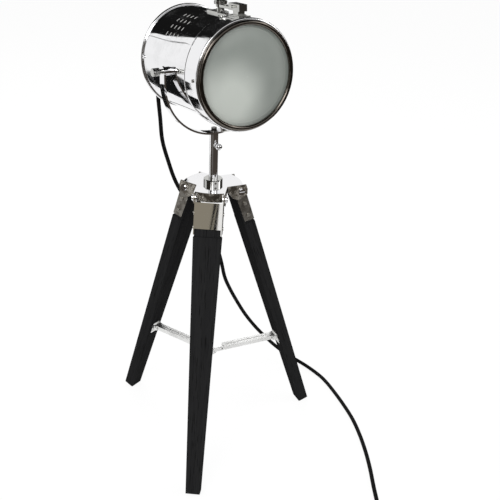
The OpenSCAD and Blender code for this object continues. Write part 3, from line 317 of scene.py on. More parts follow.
def use_group(tree, group, inputs):
    """Places a group in a tree and gives back its outputs."""
    made = tree.nodes.new("ShaderNodeGroup")
    made.node_tree = group
    feed(tree, made, inputs)
    return made.outputs


print("tree helpers: feed, put, new_group, use_group")

# %% [markdown]
# Sums, ramps, mixtures and bumps come up in every finish, so each gets a short name that takes
# numbers and sockets alike. A material starts with one shader and the object's own coordinates.
# Those need no unwrapping, and a pattern made from them stays on its piece when the piece moves.

# %% Short names for the common nodes
def math_node(tree, operation, a, b=0.0, c=0.0):
    return put(tree, "Math", {0: a, 1: b, 2: c}, operation=operation).outputs[0]


def vector_node(tree, operation, a, b=(0, 0, 0)):
    made = put(tree, "VectorMath", {0: a, 1: b}, operation=operation)
    return made.outputs["Value" if operation in ("DOT_PRODUCT", "LENGTH") else "Vector"]


def ramp_between(tree, value, low, high, to_low=0.0, to_high=1.0):
    """Maps low..high to to_low..to_high with a smooth start and end."""
    return put(tree, "MapRange", {
        "Value": value, "From Min": low, "From Max": high, "To Min": to_low, "To Max": to_high,
    }, interpolation_type="SMOOTHSTEP").outputs["Result"]


def mix_colours(tree, share, a, b):
    """Mixes from a to b by a share. Its sockets are found by type, because their names repeat."""
    made = put(tree, "Mix", {"Factor": share}, data_type="RGBA")
    for socket, colour in (("A", a), ("B", b)):
        target = [s for s in made.inputs if s.name == socket and s.type == "RGBA"][0]
        if isinstance(colour, bpy.types.NodeSocket):
            tree.links.new(colour, target)
        else:
            target.default_value = (*colour, 1)
    return [s for s in made.outputs if s.type == "RGBA"][0]


def new_material(name):
    """A material with an empty tree, its Principled shader and the object's own coordinates."""
    material = bpy.data.materials.new(name)
    material.use_nodes = True
    tree = material.node_tree
    tree.nodes.clear()
    shader = tree.nodes.new("ShaderNodeBsdfPrincipled")
    output = tree.nodes.new("ShaderNodeOutputMaterial")
    tree.links.new(shader.outputs[0], output.inputs["Surface"])
    place = tree.nodes.new("ShaderNodeTexCoord").outputs
    return material, tree, shader, place


def bump(tree, shader, height, distance, strength=1.0):
    made = put(tree, "Bump", {"Height": height, "Distance": distance, "Strength": strength})
    tree.links.new(made.outputs[0], shader.inputs["Normal"])


print("node helpers: math_node, vector_node, ramp_between, mix_colours, new_material, bump")

# %% [markdown]
# ## Effects that several finishes share
#
# Four effects come up in more than one finish. Each is a node group that is built once, with
# named inputs, so that a finish only says how large or how strong it wants the effect.
#
# Handled metal has smudges and, finer than those, hairline scratches. A painted roughness map
# would do, but it has a size and a seam. Two layers of noise have neither. They make one mask,
# and the mask moves the roughness between a clean and a marked value.

# %% Group: handling marks
HAIRS_FINER = 9.0
SMUDGE_SHARE, HAIR_SHARE = 0.75, 0.25
MARKS_FROM, MARKS_TO = 0.46, 0.62
marks, given, out = new_group(
    "handling_marks",
    [("Place", "Vector", (0, 0, 0)), ("Size", "Float", 0.02),
     ("Clean", "Float", 0.03), ("Marked", "Float", 0.1)],
    [("Roughness", "Float"), ("Mask", "Float")],
)
per_smudge = math_node(marks, "DIVIDE", 1.0, given["Size"])
smudge = put(marks, "TexNoise", {"Vector": given["Place"], "Scale": per_smudge, "Detail": 5.0,
                                 "Roughness": 0.62})
per_hair = math_node(marks, "MULTIPLY", per_smudge, HAIRS_FINER)
hairs = put(marks, "TexNoise", {"Vector": given["Place"], "Scale": per_hair, "Detail": 2.0,
                                "Distortion": 2.5})
both = math_node(marks, "ADD", math_node(marks, "MULTIPLY", smudge.outputs[0], SMUDGE_SHARE),
                 math_node(marks, "MULTIPLY", hairs.outputs[0], HAIR_SHARE))
mask = ramp_between(marks, both, MARKS_FROM, MARKS_TO)
marks.links.new(mask, out["Mask"])
spread = math_node(marks, "SUBTRACT", given["Marked"], given["Clean"])
marks.links.new(math_node(marks, "MULTIPLY_ADD", mask, spread, given["Clean"]), out["Roughness"])
print("group:", marks.name)

# %% [markdown]
# Thin sheet metal is never quite flat, so its reflections wander. Real dents would need a dense
# mesh. One long soft noise, used as the height of a bump, bends the reflections alone.

# %% Group: the waves of thin sheet metal
waves, given, out = new_group(
    "sheet_waves", [("Place", "Vector", (0, 0, 0)), ("Size", "Float", 0.05)], [("Height", "Float")],
)
long_wave = put(waves, "TexNoise", {
    "Vector": given["Place"], "Scale": math_node(waves, "DIVIDE", 1.0, given["Size"]),
    "Detail": 1.0, "Roughness": 0.3,
})
waves.links.new(long_wave.outputs[0], out["Height"])
print("group:", waves.name)

# %% [markdown]
# Wood and brushed steel both have a grain, which is a noise pulled out along one direction.
# Scaling the coordinates pulls it out along X, Y or Z only, and the legs lean. So the group takes
# most of a point's distance along the grain away before the noise sees it.

# %% Group: grain along one direction
PORES_FINER = 4.0
PORES_FROM, PORES_TO = 0.56, 0.7
grain, given, out = new_group(
    "grain",
    [("Place", "Vector", (0, 0, 0)), ("Along", "Vector", (0, 0, 1)),
     ("Stretch", "Float", 0.95), ("Size", "Float", 0.003)],
    [("Streaks", "Float"), ("Pores", "Float")],
)
run = vector_node(grain, "DOT_PRODUCT", given["Place"], given["Along"])
pulled = put(grain, "VectorMath", {
    0: given["Along"], "Scale": math_node(grain, "MULTIPLY", run, given["Stretch"]),
}, operation="SCALE")
squeezed = vector_node(grain, "SUBTRACT", given["Place"], pulled.outputs[0])
per_streak = math_node(grain, "DIVIDE", 1.0, given["Size"])
streaks = put(grain, "TexNoise", {"Vector": squeezed, "Scale": per_streak, "Detail": 4.0,
                                  "Roughness": 0.6})
per_pore = math_node(grain, "MULTIPLY", per_streak, PORES_FINER)
fine = put(grain, "TexNoise", {"Vector": squeezed, "Scale": per_pore, "Detail": 3.0})
grain.links.new(streaks.outputs[0], out["Streaks"])
grain.links.new(ramp_between(grain, fine.outputs[0], PORES_FROM, PORES_TO), out["Pores"])
print("group:", grain.name)

# %% [markdown]
# Several borders on the head are round: the painted inside of the drum, the dark lip, the step in
# the glass. Painted masks would have to be unwrapped. It is simpler to ask where a point lies:
# how far along the head's axis, and how far from it.

# %% Group: where a point lies on the lamp head
head_place, given, out = new_group(
    "head_place",
    [("Place", "Vector", (0, 0, 0)), ("Pivot", "Vector", tuple(PIVOT)),
     ("Forward", "Vector", tuple(forward))],
    [("Along", "Float"), ("Radius", "Float")],
)
from_pivot = vector_node(head_place, "SUBTRACT", given["Place"], given["Pivot"])
along = vector_node(head_place, "DOT_PRODUCT", from_pivot, given["Forward"])
axis_point = put(head_place, "VectorMath", {0: given["Forward"], "Scale": along}, operation="SCALE")
off_axis = vector_node(head_place, "SUBTRACT", from_pivot, axis_point.outputs[0])
head_place.links.new(along, out["Along"])
head_place.links.new(vector_node(head_place, "LENGTH", off_axis), out["Radius"])
print("group:", head_place.name)

# %% [markdown]
# ## Metal
#
# The lamp is spun and pressed steel under bright chrome. Chrome has hardly any colour of its
# own: it is a metal with a very low roughness, and what shows in it is the studio. Two things
# keep it from looking like a computer's mirror, both small: the wandering of the sheet and the
# smudges that raise the roughness here and there.

# %% Chrome
CHROME = (0.86, 0.86, 0.87)
SMUDGED_SHARE = 0.93
SMUDGE_SIZE = 30 * MM
WAVE_SIZE = 70 * MM
DRUM_WAVE = 0.4 * MM
RING_WAVE = 0.2 * MM
CAP_WAVE = 0.12 * MM


def smudged(colour):
    """A metal's colour where it was handled."""
    return tuple(SMUDGED_SHARE * c for c in colour)


def sheet_bump(tree, shader, place, wave):
    height = use_group(tree, waves, {"Place": place["Object"], "Size": WAVE_SIZE})["Height"]
    bump(tree, shader, height, wave)


def handled(tree, place, clean, marked, size=SMUDGE_SIZE):
    """Handling marks of a size, between a clean and a marked roughness."""
    return use_group(tree, marks, {"Place": place["Object"], "Size": size, "Clean": clean,
                                   "Marked": marked})


def chrome(name, colour=CHROME, clean=0.025, marked=0.09, wave=0.0):
    material, tree, shader, place = new_material(name)
    seen = handled(tree, place, clean, marked)
    tree.links.new(mix_colours(tree, seen["Mask"], colour, smudged(colour)),
                   shader.inputs["Base Color"])
    tree.links.new(seen["Roughness"], shader.inputs["Roughness"])
    shader.inputs["Metallic"].default_value = 1.0
    if wave:
        sheet_bump(tree, shader, place, wave)
    return material


sheet_chrome = chrome("sheet_chrome", wave=CAP_WAVE)
bar_chrome = chrome("bar_chrome")
arm_chrome = chrome("arm_chrome", colour=(0.8, 0.8, 0.79), clean=0.32, marked=0.42)
old_nickel = chrome("old_nickel", colour=(0.5, 0.5, 0.48), clean=0.05, marked=0.14)
satin_steel = chrome("satin_steel", colour=(0.5, 0.48, 0.44), clean=0.34, marked=0.45)
dark_nickel = chrome("dark_nickel", colour=(0.2, 0.19, 0.18), clean=0.18, marked=0.35)
zinc = chrome("zinc", colour=(0.55, 0.56, 0.58), clean=0.3, marked=0.45)
plain_metals = (sheet_chrome, bar_chrome, arm_chrome, old_nickel, satin_steel, dark_nickel, zinc)
print("metals:", ", ".join(metal.name for metal in plain_metals))

# %% [markdown]
# The drum is plated outside and painted white inside, and the paint reaches into the cut edges
# of the vents. That is why they show as light dashes on a dark reflection. Paint and plating
# are on one piece of sheet, so a mask tells them apart: a point belongs to the paint when it is
# nearer to the head's axis than the outer skin.

# %% Drum shell, plated outside and painted inside
PAINTED_WITHIN_R = 66.2 * MM
PAINT_BORDER = 0.1 * MM
PAINT = (0.88, 0.88, 0.86)
PAINT_ROUGHER = 0.4


def drum_finish():
    material, tree, shader, place = new_material("drum_chrome_and_paint")
    seen = handled(tree, place, clean=0.025, marked=0.09)
    at = use_group(tree, head_place, {"Place": place["Object"]})
    painted = ramp_between(tree, at["Radius"], PAINTED_WITHIN_R, PAINTED_WITHIN_R + PAINT_BORDER,
                           1.0, 0.0)
    plated = mix_colours(tree, seen["Mask"], CHROME, smudged(CHROME))
    tree.links.new(mix_colours(tree, painted, plated, PAINT), shader.inputs["Base Color"])
    tree.links.new(math_node(tree, "SUBTRACT", 1.0, painted), shader.inputs["Metallic"])
    tree.links.new(math_node(tree, "MULTIPLY_ADD", painted, PAINT_ROUGHER, seen["Roughness"]),
                   shader.inputs["Roughness"])
    sheet_bump(tree, shader, place, DRUM_WAVE)
    return material


drum_metal = drum_finish()
print("drum:", drum_metal.name)

# %% [markdown]
# The front ring is the same bright chrome, but the rolled lip that holds the glass is given a dark
# colour, a painted dark reflection, a little lighter where it was handled. It is one piece of metal,
# so the border is again a mask: the lip is all that lies forward of the ring's shoulder.

# %% Front ring and its dark lip
RING_SHOULDER = 77 * MM
LIP_BORDER = 0.2 * MM
# Painted dark reflection on the lip, and its lighter tone where it was handled.
LIP_PAINTED_DARK, LIP_PAINTED_DARK_WORN = (0.13, 0.115, 0.1), (0.18, 0.16, 0.14)
LIP_ROUGHER = 0.07


def ring_finish():
    material, tree, shader, place = new_material("ring_and_lip")
    seen = handled(tree, place, clean=0.03, marked=0.1)
    at = use_group(tree, head_place, {"Place": place["Object"]})
    lip = ramp_between(tree, at["Along"], RING_SHOULDER, RING_SHOULDER + LIP_BORDER)
    # The lip's painted dark reflection.
    tone = mix_colours(tree, seen["Mask"], LIP_PAINTED_DARK, LIP_PAINTED_DARK_WORN)
    tree.links.new(mix_colours(tree, lip, CHROME, tone), shader.inputs["Base Color"])
    tree.links.new(math_node(tree, "MULTIPLY_ADD", lip, LIP_ROUGHER, seen["Roughness"]),
                   shader.inputs["Roughness"])
    shader.inputs["Metallic"].default_value = 1.0
    sheet_bump(tree, shader, place, RING_WAVE)
    return material


ring_metal = ring_finish()
print("ring:", ring_metal.name)

# %% [markdown]
# The caps on the legs are folded from one plate. Their front is polished, and their two side
# flanges are left as the mill brushed them, so they look darker and warmer. The normal of the
# face says which is which.

# %% Leg caps, polished in front and brushed on the flanges
LEG_TURNS = {"right": math.radians(-7), "left": math.radians(113), "front": math.radians(233)}
LEG_SPLAY = math.radians(18.4)
CAP_FRONT = (0.8, 0.79, 0.77)
BRUSHED_DARK, BRUSHED_LIGHT = (0.24, 0.225, 0.2), (0.5, 0.48, 0.44)
BRUSHED_STAIN = (0.2, 0.185, 0.165)
FLANGE_ROUGHER = 0.29
FLANGE_FROM, FLANGE_TO = 0.55, 0.75
BRUSH_DEPTH = 0.04 * MM


def leg_directions(leg):
    """Directions down along a leg board and across it."""
    turn = LEG_TURNS[leg]
    down = Vector((math.cos(turn) * math.sin(LEG_SPLAY), math.sin(turn) * math.sin(LEG_SPLAY),
                   -math.cos(LEG_SPLAY)))
    return down, Vector((-math.sin(turn), math.cos(turn), 0))


def cap_finish(leg):
    down, across = leg_directions(leg)
    material, tree, shader, place = new_material("cap_metal_" + leg)
    facing = vector_node(tree, "DOT_PRODUCT", place["Normal"], tuple(across))
    flange = ramp_between(tree, math_node(tree, "ABSOLUTE", facing), FLANGE_FROM, FLANGE_TO)
    lines = use_group(tree, grain, {"Place": place["Object"], "Along": tuple(down), "Size": 0.8 * MM,
                                    "Stretch": 0.97})
    blotches = handled(tree, place, clean=0.02, marked=0.03, size=12 * MM)
    brushed = mix_colours(tree, lines["Streaks"], BRUSHED_DARK, BRUSHED_LIGHT)
    stained = mix_colours(tree, blotches["Mask"], brushed, BRUSHED_STAIN)
    tree.links.new(mix_colours(tree, flange, CAP_FRONT, stained), shader.inputs["Base Color"])
    rough = math_node(tree, "MULTIPLY_ADD", flange, FLANGE_ROUGHER, blotches["Roughness"])
    tree.links.new(rough, shader.inputs["Roughness"])
    shader.inputs["Metallic"].default_value = 1.0
    bump(tree, shader, math_node(tree, "MULTIPLY", lines["Streaks"], flange), BRUSH_DEPTH)
    return material


cap_metals = {leg: cap_finish(leg) for leg in LEG_TURNS}
print("caps:", sorted(m.name for m in cap_metals.values()))

# %% [markdown]
# The platform is pressed from one sheet. Its top was buffed to a mirror, and the upright ears
# and skirts, which no buffing wheel reaches, kept a mottled brown-grey mill skin. Here the
# border is the upward part of the normal.

# %% Platform, bright on top and mottled on its sides
SKIN_DARK, SKIN_LIGHT = (0.2, 0.18, 0.15), (0.62, 0.59, 0.53)
SKIN_ROUGHER = 0.3
SKIN_DEPTH = 0.2 * MM
UPRIGHT_TO, LEVEL_FROM = 0.3, 0.7


def platform_finish():
    material, tree, shader, place = new_material("platform_metal")
    level = math_node(tree, "ABSOLUTE", vector_node(tree, "DOT_PRODUCT", place["Normal"], (0, 0, 1)))
    side = ramp_between(tree, level, UPRIGHT_TO, LEVEL_FROM, 1.0, 0.0)
    blotches = handled(tree, place, clean=0.03, marked=0.06, size=9 * MM)
    mottled = mix_colours(tree, blotches["Mask"], SKIN_DARK, SKIN_LIGHT)
    tree.links.new(mix_colours(tree, side, CHROME, mottled), shader.inputs["Base Color"])
    tree.links.new(math_node(tree, "MULTIPLY_ADD", side, SKIN_ROUGHER, blotches["Roughness"]),
                   shader.inputs["Roughness"])
    shader.inputs["Metallic"].default_value = 1.0
    bump(tree, shader, math_node(tree, "MULTIPLY", blotches["Mask"], side), SKIN_DEPTH)
    return material


platform_metal = platform_finish()
print("platform:", platform_metal.name)

# %% [markdown]
# ## Black stained wood
#
# The boards are a light hardwood under a dead matt black stain. It throws back no reflection at
# all, so the specular level is zero, and what is left of the grain goes into colour and bump.
# The noise is stretched along each board, which is why each leg has its own direction.

# %% Wood of the three legs
STAIN_DEEP, STAIN_THIN = (0.0115, 0.0115, 0.012), (0.026, 0.026, 0.0265)
PORE = (0.006, 0.006, 0.006)
PORE_ROUGHER = 0.12
GRAIN_DEPTH = 0.12 * MM


def wood_finish(leg):
    down, _ = leg_directions(leg)
    material, tree, shader, place = new_material("black_wood_" + leg)
    lines = use_group(tree, grain, {"Place": place["Object"], "Along": tuple(down), "Size": 4 * MM,
                                    "Stretch": 0.965})
    worn = handled(tree, place, clean=0.36, marked=0.48, size=50 * MM)
    tone = mix_colours(tree, lines["Streaks"], STAIN_DEEP, STAIN_THIN)
    tree.links.new(mix_colours(tree, lines["Pores"], tone, PORE), shader.inputs["Base Color"])
    tree.links.new(math_node(tree, "MULTIPLY_ADD", lines["Pores"], PORE_ROUGHER, worn["Roughness"]),
                   shader.inputs["Roughness"])
    height = math_node(tree, "SUBTRACT", lines["Streaks"], lines["Pores"])
    bump(tree, shader, height, GRAIN_DEPTH, strength=0.7)
    shader.inputs["Specular IOR Level"].default_value = 0.0
    return material


woods = {leg: wood_finish(leg) for leg in LEG_TURNS}
print("wood:", sorted(m.name for m in woods.values()))

# %% [markdown]
# ## The front glass
#
# The front glass is sandblasted on its inner side. Light goes through it, but no picture does.
# A rough transmission does that honestly. Light is also painted into its colour: a painted glow at
# the lower left stands for the light that the reflector's bowl behind it throws there, and a
# painted highlight runs as a line along a step pressed into the glass near the edge. The edge of
# the glass is a little paler than its middle. All three are soft masks by distance: one from a
# point below the middle, two from the head's axis.

# %% Frosted front glass
GLASS_DULL, GLASS_PAINTED_LIGHT_TONE = (0.34, 0.375, 0.345), (0.76, 0.8, 0.745)
GLASS_R = 61 * MM
# Painted light: the centre and the reach of a painted glow that stands for the reflector's light.
PAINTED_GLOW_CENTRE = PIVOT - upward * 24 * MM - Vector((20, 0, 0)) * MM
PAINTED_GLOW_FROM, PAINTED_GLOW_TO = 0.2 * GLASS_R, GLASS_R
EDGE_FROM, EDGE_TO, EDGE_PALER = 0.6 * GLASS_R, 0.95 * GLASS_R, 0.15
# Painted highlight: a paler line along the step near the edge of the glass.
STEP_R = 56.6 * MM
STEP_INNER, STEP_OUTER, STEP_HIGHLIGHT_PAINT = 0.2 * MM, 0.7 * MM, 0.25
CLOUD_SHARE, CLOUD_OFFSET = 0.4, 0.15
NOISE_LOW, NOISE_HIGH = 0.3, 0.7
BLAST_DEPTH = 0.02 * MM


def blasted_glass():
    material, tree, shader, place = new_material("blasted_glass")
    blast = put(tree, "TexNoise", {"Vector": place["Object"], "Scale": 900.0, "Detail": 3.0}).outputs[0]
    cloud = put(tree, "TexNoise", {"Vector": place["Object"], "Scale": 22.0, "Detail": 2.0}).outputs[0]
    at = use_group(tree, head_place, {"Place": place["Object"]})
    near = use_group(tree, head_place, {"Place": place["Object"], "Pivot": tuple(PAINTED_GLOW_CENTRE)})
    # A painted glow: the colour is lighter towards a point at the lower left.
    painted_glow = ramp_between(tree, near["Radius"], PAINTED_GLOW_FROM, PAINTED_GLOW_TO, 1.0, 0.0)
    edge = ramp_between(tree, at["Radius"], EDGE_FROM, EDGE_TO, 0.0, EDGE_PALER)
    # A painted highlight: the colour is paler along the step.
    off_step = math_node(tree, "ABSOLUTE", math_node(tree, "SUBTRACT", at["Radius"], STEP_R))
    painted_step_highlight = ramp_between(tree, off_step, STEP_INNER, STEP_OUTER, STEP_HIGHLIGHT_PAINT, 0.0)
    lowered = math_node(tree, "SUBTRACT", painted_glow, CLOUD_OFFSET)
    uneven = math_node(tree, "MULTIPLY_ADD", cloud, CLOUD_SHARE, lowered)
    painted_light_and_cloud = math_node(tree, "ADD", uneven, math_node(tree, "ADD", edge, painted_step_highlight))
    tree.links.new(mix_colours(tree, painted_light_and_cloud, GLASS_DULL, GLASS_PAINTED_LIGHT_TONE), shader.inputs["Base Color"])
    rough = ramp_between(tree, blast, NOISE_LOW, NOISE_HIGH, to_low=0.36, to_high=0.46)
    tree.links.new(rough, shader.inputs["Roughness"])
    shader.inputs["Transmission Weight"].default_value = 0.35
    shader.inputs["IOR"].default_value = 1.5
    shader.inputs["Coat Weight"].default_value = 0.6
    shader.inputs["Coat Roughness"].default_value = 0.28
    bump(tree, shader, blast, BLAST_DEPTH, strength=0.5)
    return material


glass = blasted_glass()
print("glass:", glass.name)

# %% [markdown]
# ## Rubber, plastic and what is inside the head
#
# The cord, its switch, the gasket, the lamp holder and the reflector are each one even material.
# Even so, none is a single colour on the real lamp: a moulding has a fine skin and a spun bowl
# has fine rings of tool marks. One speckle in colour, roughness and bump stands for both. A
# finish may set its size and depth.

# %% Plain finishes with a fine speckle
SPECKLE_LIGHTER, SPECKLE_LIFT, SPECKLE_ROUGHER = 1.25, 0.004, 0.12


def plain_finish(name, colour, rough, metal=0.0, through=0.0, shine=0.5,
                 size=6 * MM, depth=0.02 * MM):
    """A finish of a metal or see-through share, with a speckle of a size and depth."""
    material, tree, shader, place = new_material(name)
    speckle = put(tree, "TexNoise", {"Vector": place["Object"], "Scale": 1 / size,
                                     "Detail": 6.0}).outputs[0]
    lighter = tuple(min(1.0, SPECKLE_LIGHTER * c + SPECKLE_LIFT) for c in colour)
    tree.links.new(mix_colours(tree, speckle, colour, lighter), shader.inputs["Base Color"])
    rougher = ramp_between(tree, speckle, NOISE_LOW, NOISE_HIGH, rough, rough + SPECKLE_ROUGHER)
    tree.links.new(rougher, shader.inputs["Roughness"])
    shader.inputs["Metallic"].default_value = metal
    shader.inputs["Transmission Weight"].default_value = through
    shader.inputs["Specular IOR Level"].default_value = shine
    bump(tree, shader, speckle, depth)
    return material


opal = plain_finish("opal_bulb", (0.75, 0.75, 0.72), 0.15, through=0.3)
ceramic = plain_finish("glazed_ceramic", (0.62, 0.58, 0.5), 0.3)
spun = plain_finish("spun_reflector", (0.8, 0.8, 0.8), 0.22, metal=1.0)
bulb_nickel = plain_finish("bulb_nickel", (0.6, 0.57, 0.5), 0.25, metal=1.0)
rubber = plain_finish("cord_rubber", (0.002, 0.002, 0.002), 0.5, shine=0.08,
                      size=1.2 * MM, depth=0.04 * MM)
plastic = plain_finish("moulded_plastic", (0.006, 0.006, 0.0065), 0.34, shine=0.3,
                       size=0.8 * MM, depth=0.03 * MM)
gasket = plain_finish("gasket_rubber", (0.006, 0.006, 0.006), 0.6, shine=0.1)
even_finishes = (opal, ceramic, spun, bulb_nickel, rubber, plastic, gasket)
print("even finishes:", ", ".join(finish.name for finish in even_finishes))

# %% [markdown]
# The plug is one moulding with two bright pins. They are the part of it that lies beyond the
# end of its body, so a mask along the plug's own direction turns plastic into nickel there.

# %% Plug
PLUG_BODY_END = 66 * MM
PIN_BORDER = 0.2 * MM
PLUG_DARK, PLUG_LIGHT = (0.011, 0.011, 0.012), (0.02, 0.02, 0.02)
PIN_METAL = (0.72, 0.7, 0.66)
PLUG_ROUGH, PIN_ROUGH = 0.38, 0.18
plug_face = coil_line[-1]


def plug_finish():
    material, tree, shader, place = new_material("plug_and_pins")
    from_face = vector_node(tree, "SUBTRACT", place["Object"], tuple(plug_face))
    reach = vector_node(tree, "DOT_PRODUCT", from_face, tuple(-switch_ahead))
    pins = ramp_between(tree, reach, PLUG_BODY_END - PIN_BORDER, PLUG_BODY_END + PIN_BORDER)
    speckle = put(tree, "TexNoise", {"Vector": place["Object"], "Scale": 1200.0}).outputs[0]
    body = mix_colours(tree, speckle, PLUG_DARK, PLUG_LIGHT)
    tree.links.new(mix_colours(tree, pins, body, PIN_METAL), shader.inputs["Base Color"])
    tree.links.new(pins, shader.inputs["Metallic"])
    tree.links.new(math_node(tree, "MULTIPLY_ADD", pins, PIN_ROUGH - PLUG_ROUGH, PLUG_ROUGH),
                   shader.inputs["Roughness"])
    bump(tree, shader, speckle, 0.03 * MM)
    return material


plug_mix = plug_finish()
print("plug:", plug_mix.name)

# %% [markdown]
# ## The spun rear cap
#
# The construction builds the cap's dome from a few cones, and its mesh keeps a sharp line between
# each two of them. The real cap is spun from one sheet and has none, and a mirror would show
# every line. The construction's mesh stays as it is, so a copy takes its place: the points that
# share a place are joined, none moves, and the surface is shaded smooth where it bends little.

# %% Spin the rear cap
SHARP_BEND = math.radians(20)
SAME_PLACE = 0.001 * MM


def spun_copy(node, name):
    """A copy of a node with its points joined and its shading smooth over small bends."""
    piece = bpy.data.objects.new(name, node.data.copy())
    bpy.context.scene.collection.objects.link(piece)
    piece.matrix_world = node.matrix_world
    mesh = piece.data
    work = bmesh.new()
    work.from_mesh(mesh)
    bmesh.ops.remove_doubles(work, verts=work.verts, dist=SAME_PLACE)
    work.to_mesh(mesh)
    work.free()
    mesh.attributes.remove(mesh.attributes["custom_normal"])
    mesh.polygons.foreach_set("use_smooth", [True] * len(mesh.polygons))
    mesh.set_sharp_from_angle(angle=SHARP_BEND)
    return piece


spun_cap = spun_copy(nodes["rear_cap"], "rear_cap_spun")
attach(spun_cap, "head")
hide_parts("rear_cap")
print("spun cap:", len(spun_cap.data.vertices), "points")

# %% [markdown]
# ## Giving each piece its finish
#
# The construction keeps its own meshes, so a finish is put into the material slots that the
# pieces already have. One table says which finish goes where, and what it leaves out is printed,
# so a forgotten piece shows up at once.

# %% Assign the finishes
finishes = {
    drum_metal: ["drum_shell"],
    ring_metal: ["front_ring"],
    platform_metal: ["platform"],
    old_nickel: ["latch_base", "latch_arm", "latch_knob", "latch_catch", "hinge_leaf", "ring_hinge_eye",
                 "stem_collar", "tilt_knob_left", "tilt_knob_right"],
    bar_chrome: ["stem_tube", "stem_nut", "hinge_bolts", "ball_clamp_screw", "mast_rod",
                 "yoke", "trunnions", "rear_cap_screws"],
    satin_steel: ["cap_screws_front", "cap_screws_left", "cap_screws_right"],
    arm_chrome: ["spreader_arm_front", "spreader_arm_left", "spreader_arm_right", "spreader_hub",
                 "leg_bracket_front", "leg_bracket_left", "leg_bracket_right"],
    dark_nickel: ["collar_screws", "mast_cap_nut", "hinge_pin", "ring_screws"],
    zinc: ["glass_retainer", "holder_bracket"],
    glass: ["front_glass"],
    opal: ["bulb_glass"],
    ceramic: ["lamp_holder"],
    spun: ["reflector"],
    bulb_nickel: ["bulb_base"],
    plastic: ["cord_gland", "strain_relief", "inline_switch", "switch_rocker"],
    plug_mix: ["plug"],
    gasket: ["glass_gasket"],
}
finishes.update({cap_metals[leg]: ["leg_cap_" + leg] for leg in LEG_TURNS})
finishes.update({woods[leg]: ["leg_board_" + leg] for leg in LEG_TURNS})


def give_finish(piece, material):
    if not piece.material_slots:
        piece.data.materials.append(material)
    for slot in piece.material_slots:
        slot.material = material


for material, names in finishes.items():
    for name in names:
        give_finish(nodes[name], material)
for piece in (tilting, turning, rising, lying, coiled):
    give_finish(piece, rubber)
give_finish(spun_cap, sheet_chrome)
left_out = sorted(set(nodes) - {n for names in finishes.values() for n in names})
print("finished:", sum(len(names) for names in finishes.values()), "nodes; replaced:", left_out)

# %% [markdown]
# ## The studio
#
# A product like this is photographed on white, under large soft lamps. A sun lamp would be
# simpler, but its shadows are hard. Three area lamps, one strong and two fainter, light the
# forms softly. All three are aimed at a point about half way up the lamp.

# %% Soft lamps
LAMP_MIDDLE = Vector((0, 0, 0.35))


def soft_lamp(name, place, size, watts):
    lamp = bpy.data.objects.new(name, bpy.data.lights.new(name, "AREA"))
    bpy.context.scene.collection.objects.link(lamp)
    lamp.location = place
    lamp.rotation_mode = "QUATERNION"
    lamp.rotation_quaternion = (LAMP_MIDDLE - Vector(place)).to_track_quat("-Z", "Y")
    lamp.data.size = size
    lamp.data.energy = watts
    return lamp


lamps = [
    soft_lamp("key", (-1.5, -1.3, 1.9), size=1.3, watts=26),
    soft_lamp("fill", (1.7, -1.0, 1.3), size=1.4, watts=12),
    soft_lamp("back", (0.4, 1.6, 2.0), size=1.2, watts=12),
]
print("lamps:", ", ".join(lamp.name for lamp in lamps))

# %% [markdown]
# White paper stays white in a photograph only if it is lit more than the object. More light
# would bleach the object too. So the surroundings have two strengths: rays from the camera,
# mirrors and glass meet plain white, and rays that carry light to the object meet less.

# %% White surroundings
SOFT_LIGHT = 0.55
WHITE = (1, 1, 1, 1)


def seen_directly(tree):
    """1 for rays that show the surroundings as a picture, 0 for rays that light the object."""
    rays = tree.nodes.new("ShaderNodeLightPath").outputs
    mirrored = math_node(tree, "MAXIMUM", rays["Is Glossy Ray"], rays["Is Transmission Ray"])
    return math_node(tree, "MAXIMUM", rays["Is Camera Ray"], mirrored)


bpy.context.scene.view_settings.view_transform = "Standard"
world = bpy.data.worlds.new("studio")
bpy.context.scene.world = world
world.use_nodes = True
world.node_tree.nodes.clear()
soft_light = put(world.node_tree, "Background", {"Color": WHITE, "Strength": SOFT_LIGHT})
white_view = put(world.node_tree, "Background", {"Color": WHITE, "Strength": 1.0})
either = put(world.node_tree, "MixShader", {
    0: seen_directly(world.node_tree), 1: soft_light.outputs[0], 2: white_view.outputs[0],
})
put(world.node_tree, "OutputWorld", {"Surface": either.outputs[0]})
print("world:", world.name)

# %% [markdown]
# The floor is one large sheet of white paper. To the camera and to mirrors it glows by itself,
# and a small share of plain matt paper is mixed in, which still shows the lamp's soft shadow.

# %% The floor
FLOOR_REACH = 8.0
FLOOR_Z = -0.2 * MM
SHADOW_SHARE = 0.12
PAPER_GLOW = 1.04
PAPER = (0.86, 0.86, 0.86, 1)


def sheet_of(name, corners):
    """A flat sheet for the stage, which is no part of the object."""
    mesh = bpy.data.meshes.new(name)
    mesh.from_pydata(corners, [], [tuple(range(len(corners)))])
    piece = bpy.data.objects.new(name, mesh)
    bpy.context.scene.collection.objects.link(piece)
    return piece


paper = bpy.data.materials.new("white_paper")
paper.use_nodes = True
paper.node_tree.nodes.clear()
matt = put(paper.node_tree, "BsdfDiffuse", {"Color": PAPER})
glow = put(paper.node_tree, "Emission", {"Color": WHITE, "Strength": PAPER_GLOW})
shadowed = put(paper.node_tree, "MixShader", {
    0: 1 - SHADOW_SHARE, 1: matt.outputs[0], 2: glow.outputs[0],
})
lit_or_seen = put(paper.node_tree, "MixShader", {
    0: seen_directly(paper.node_tree), 1: matt.outputs[0], 2: shadowed.outputs[0],
})
put(paper.node_tree, "OutputMaterial", {"Surface": lit_or_seen.outputs[0]})
floor = sheet_of("floor", [
    (x * FLOOR_REACH, y * FLOOR_REACH, FLOOR_Z) for x, y in ((-1, -1), (1, -1), (1, 1), (-1, 1))
])
floor.data.materials.append(paper)
print("floor:", floor.name)

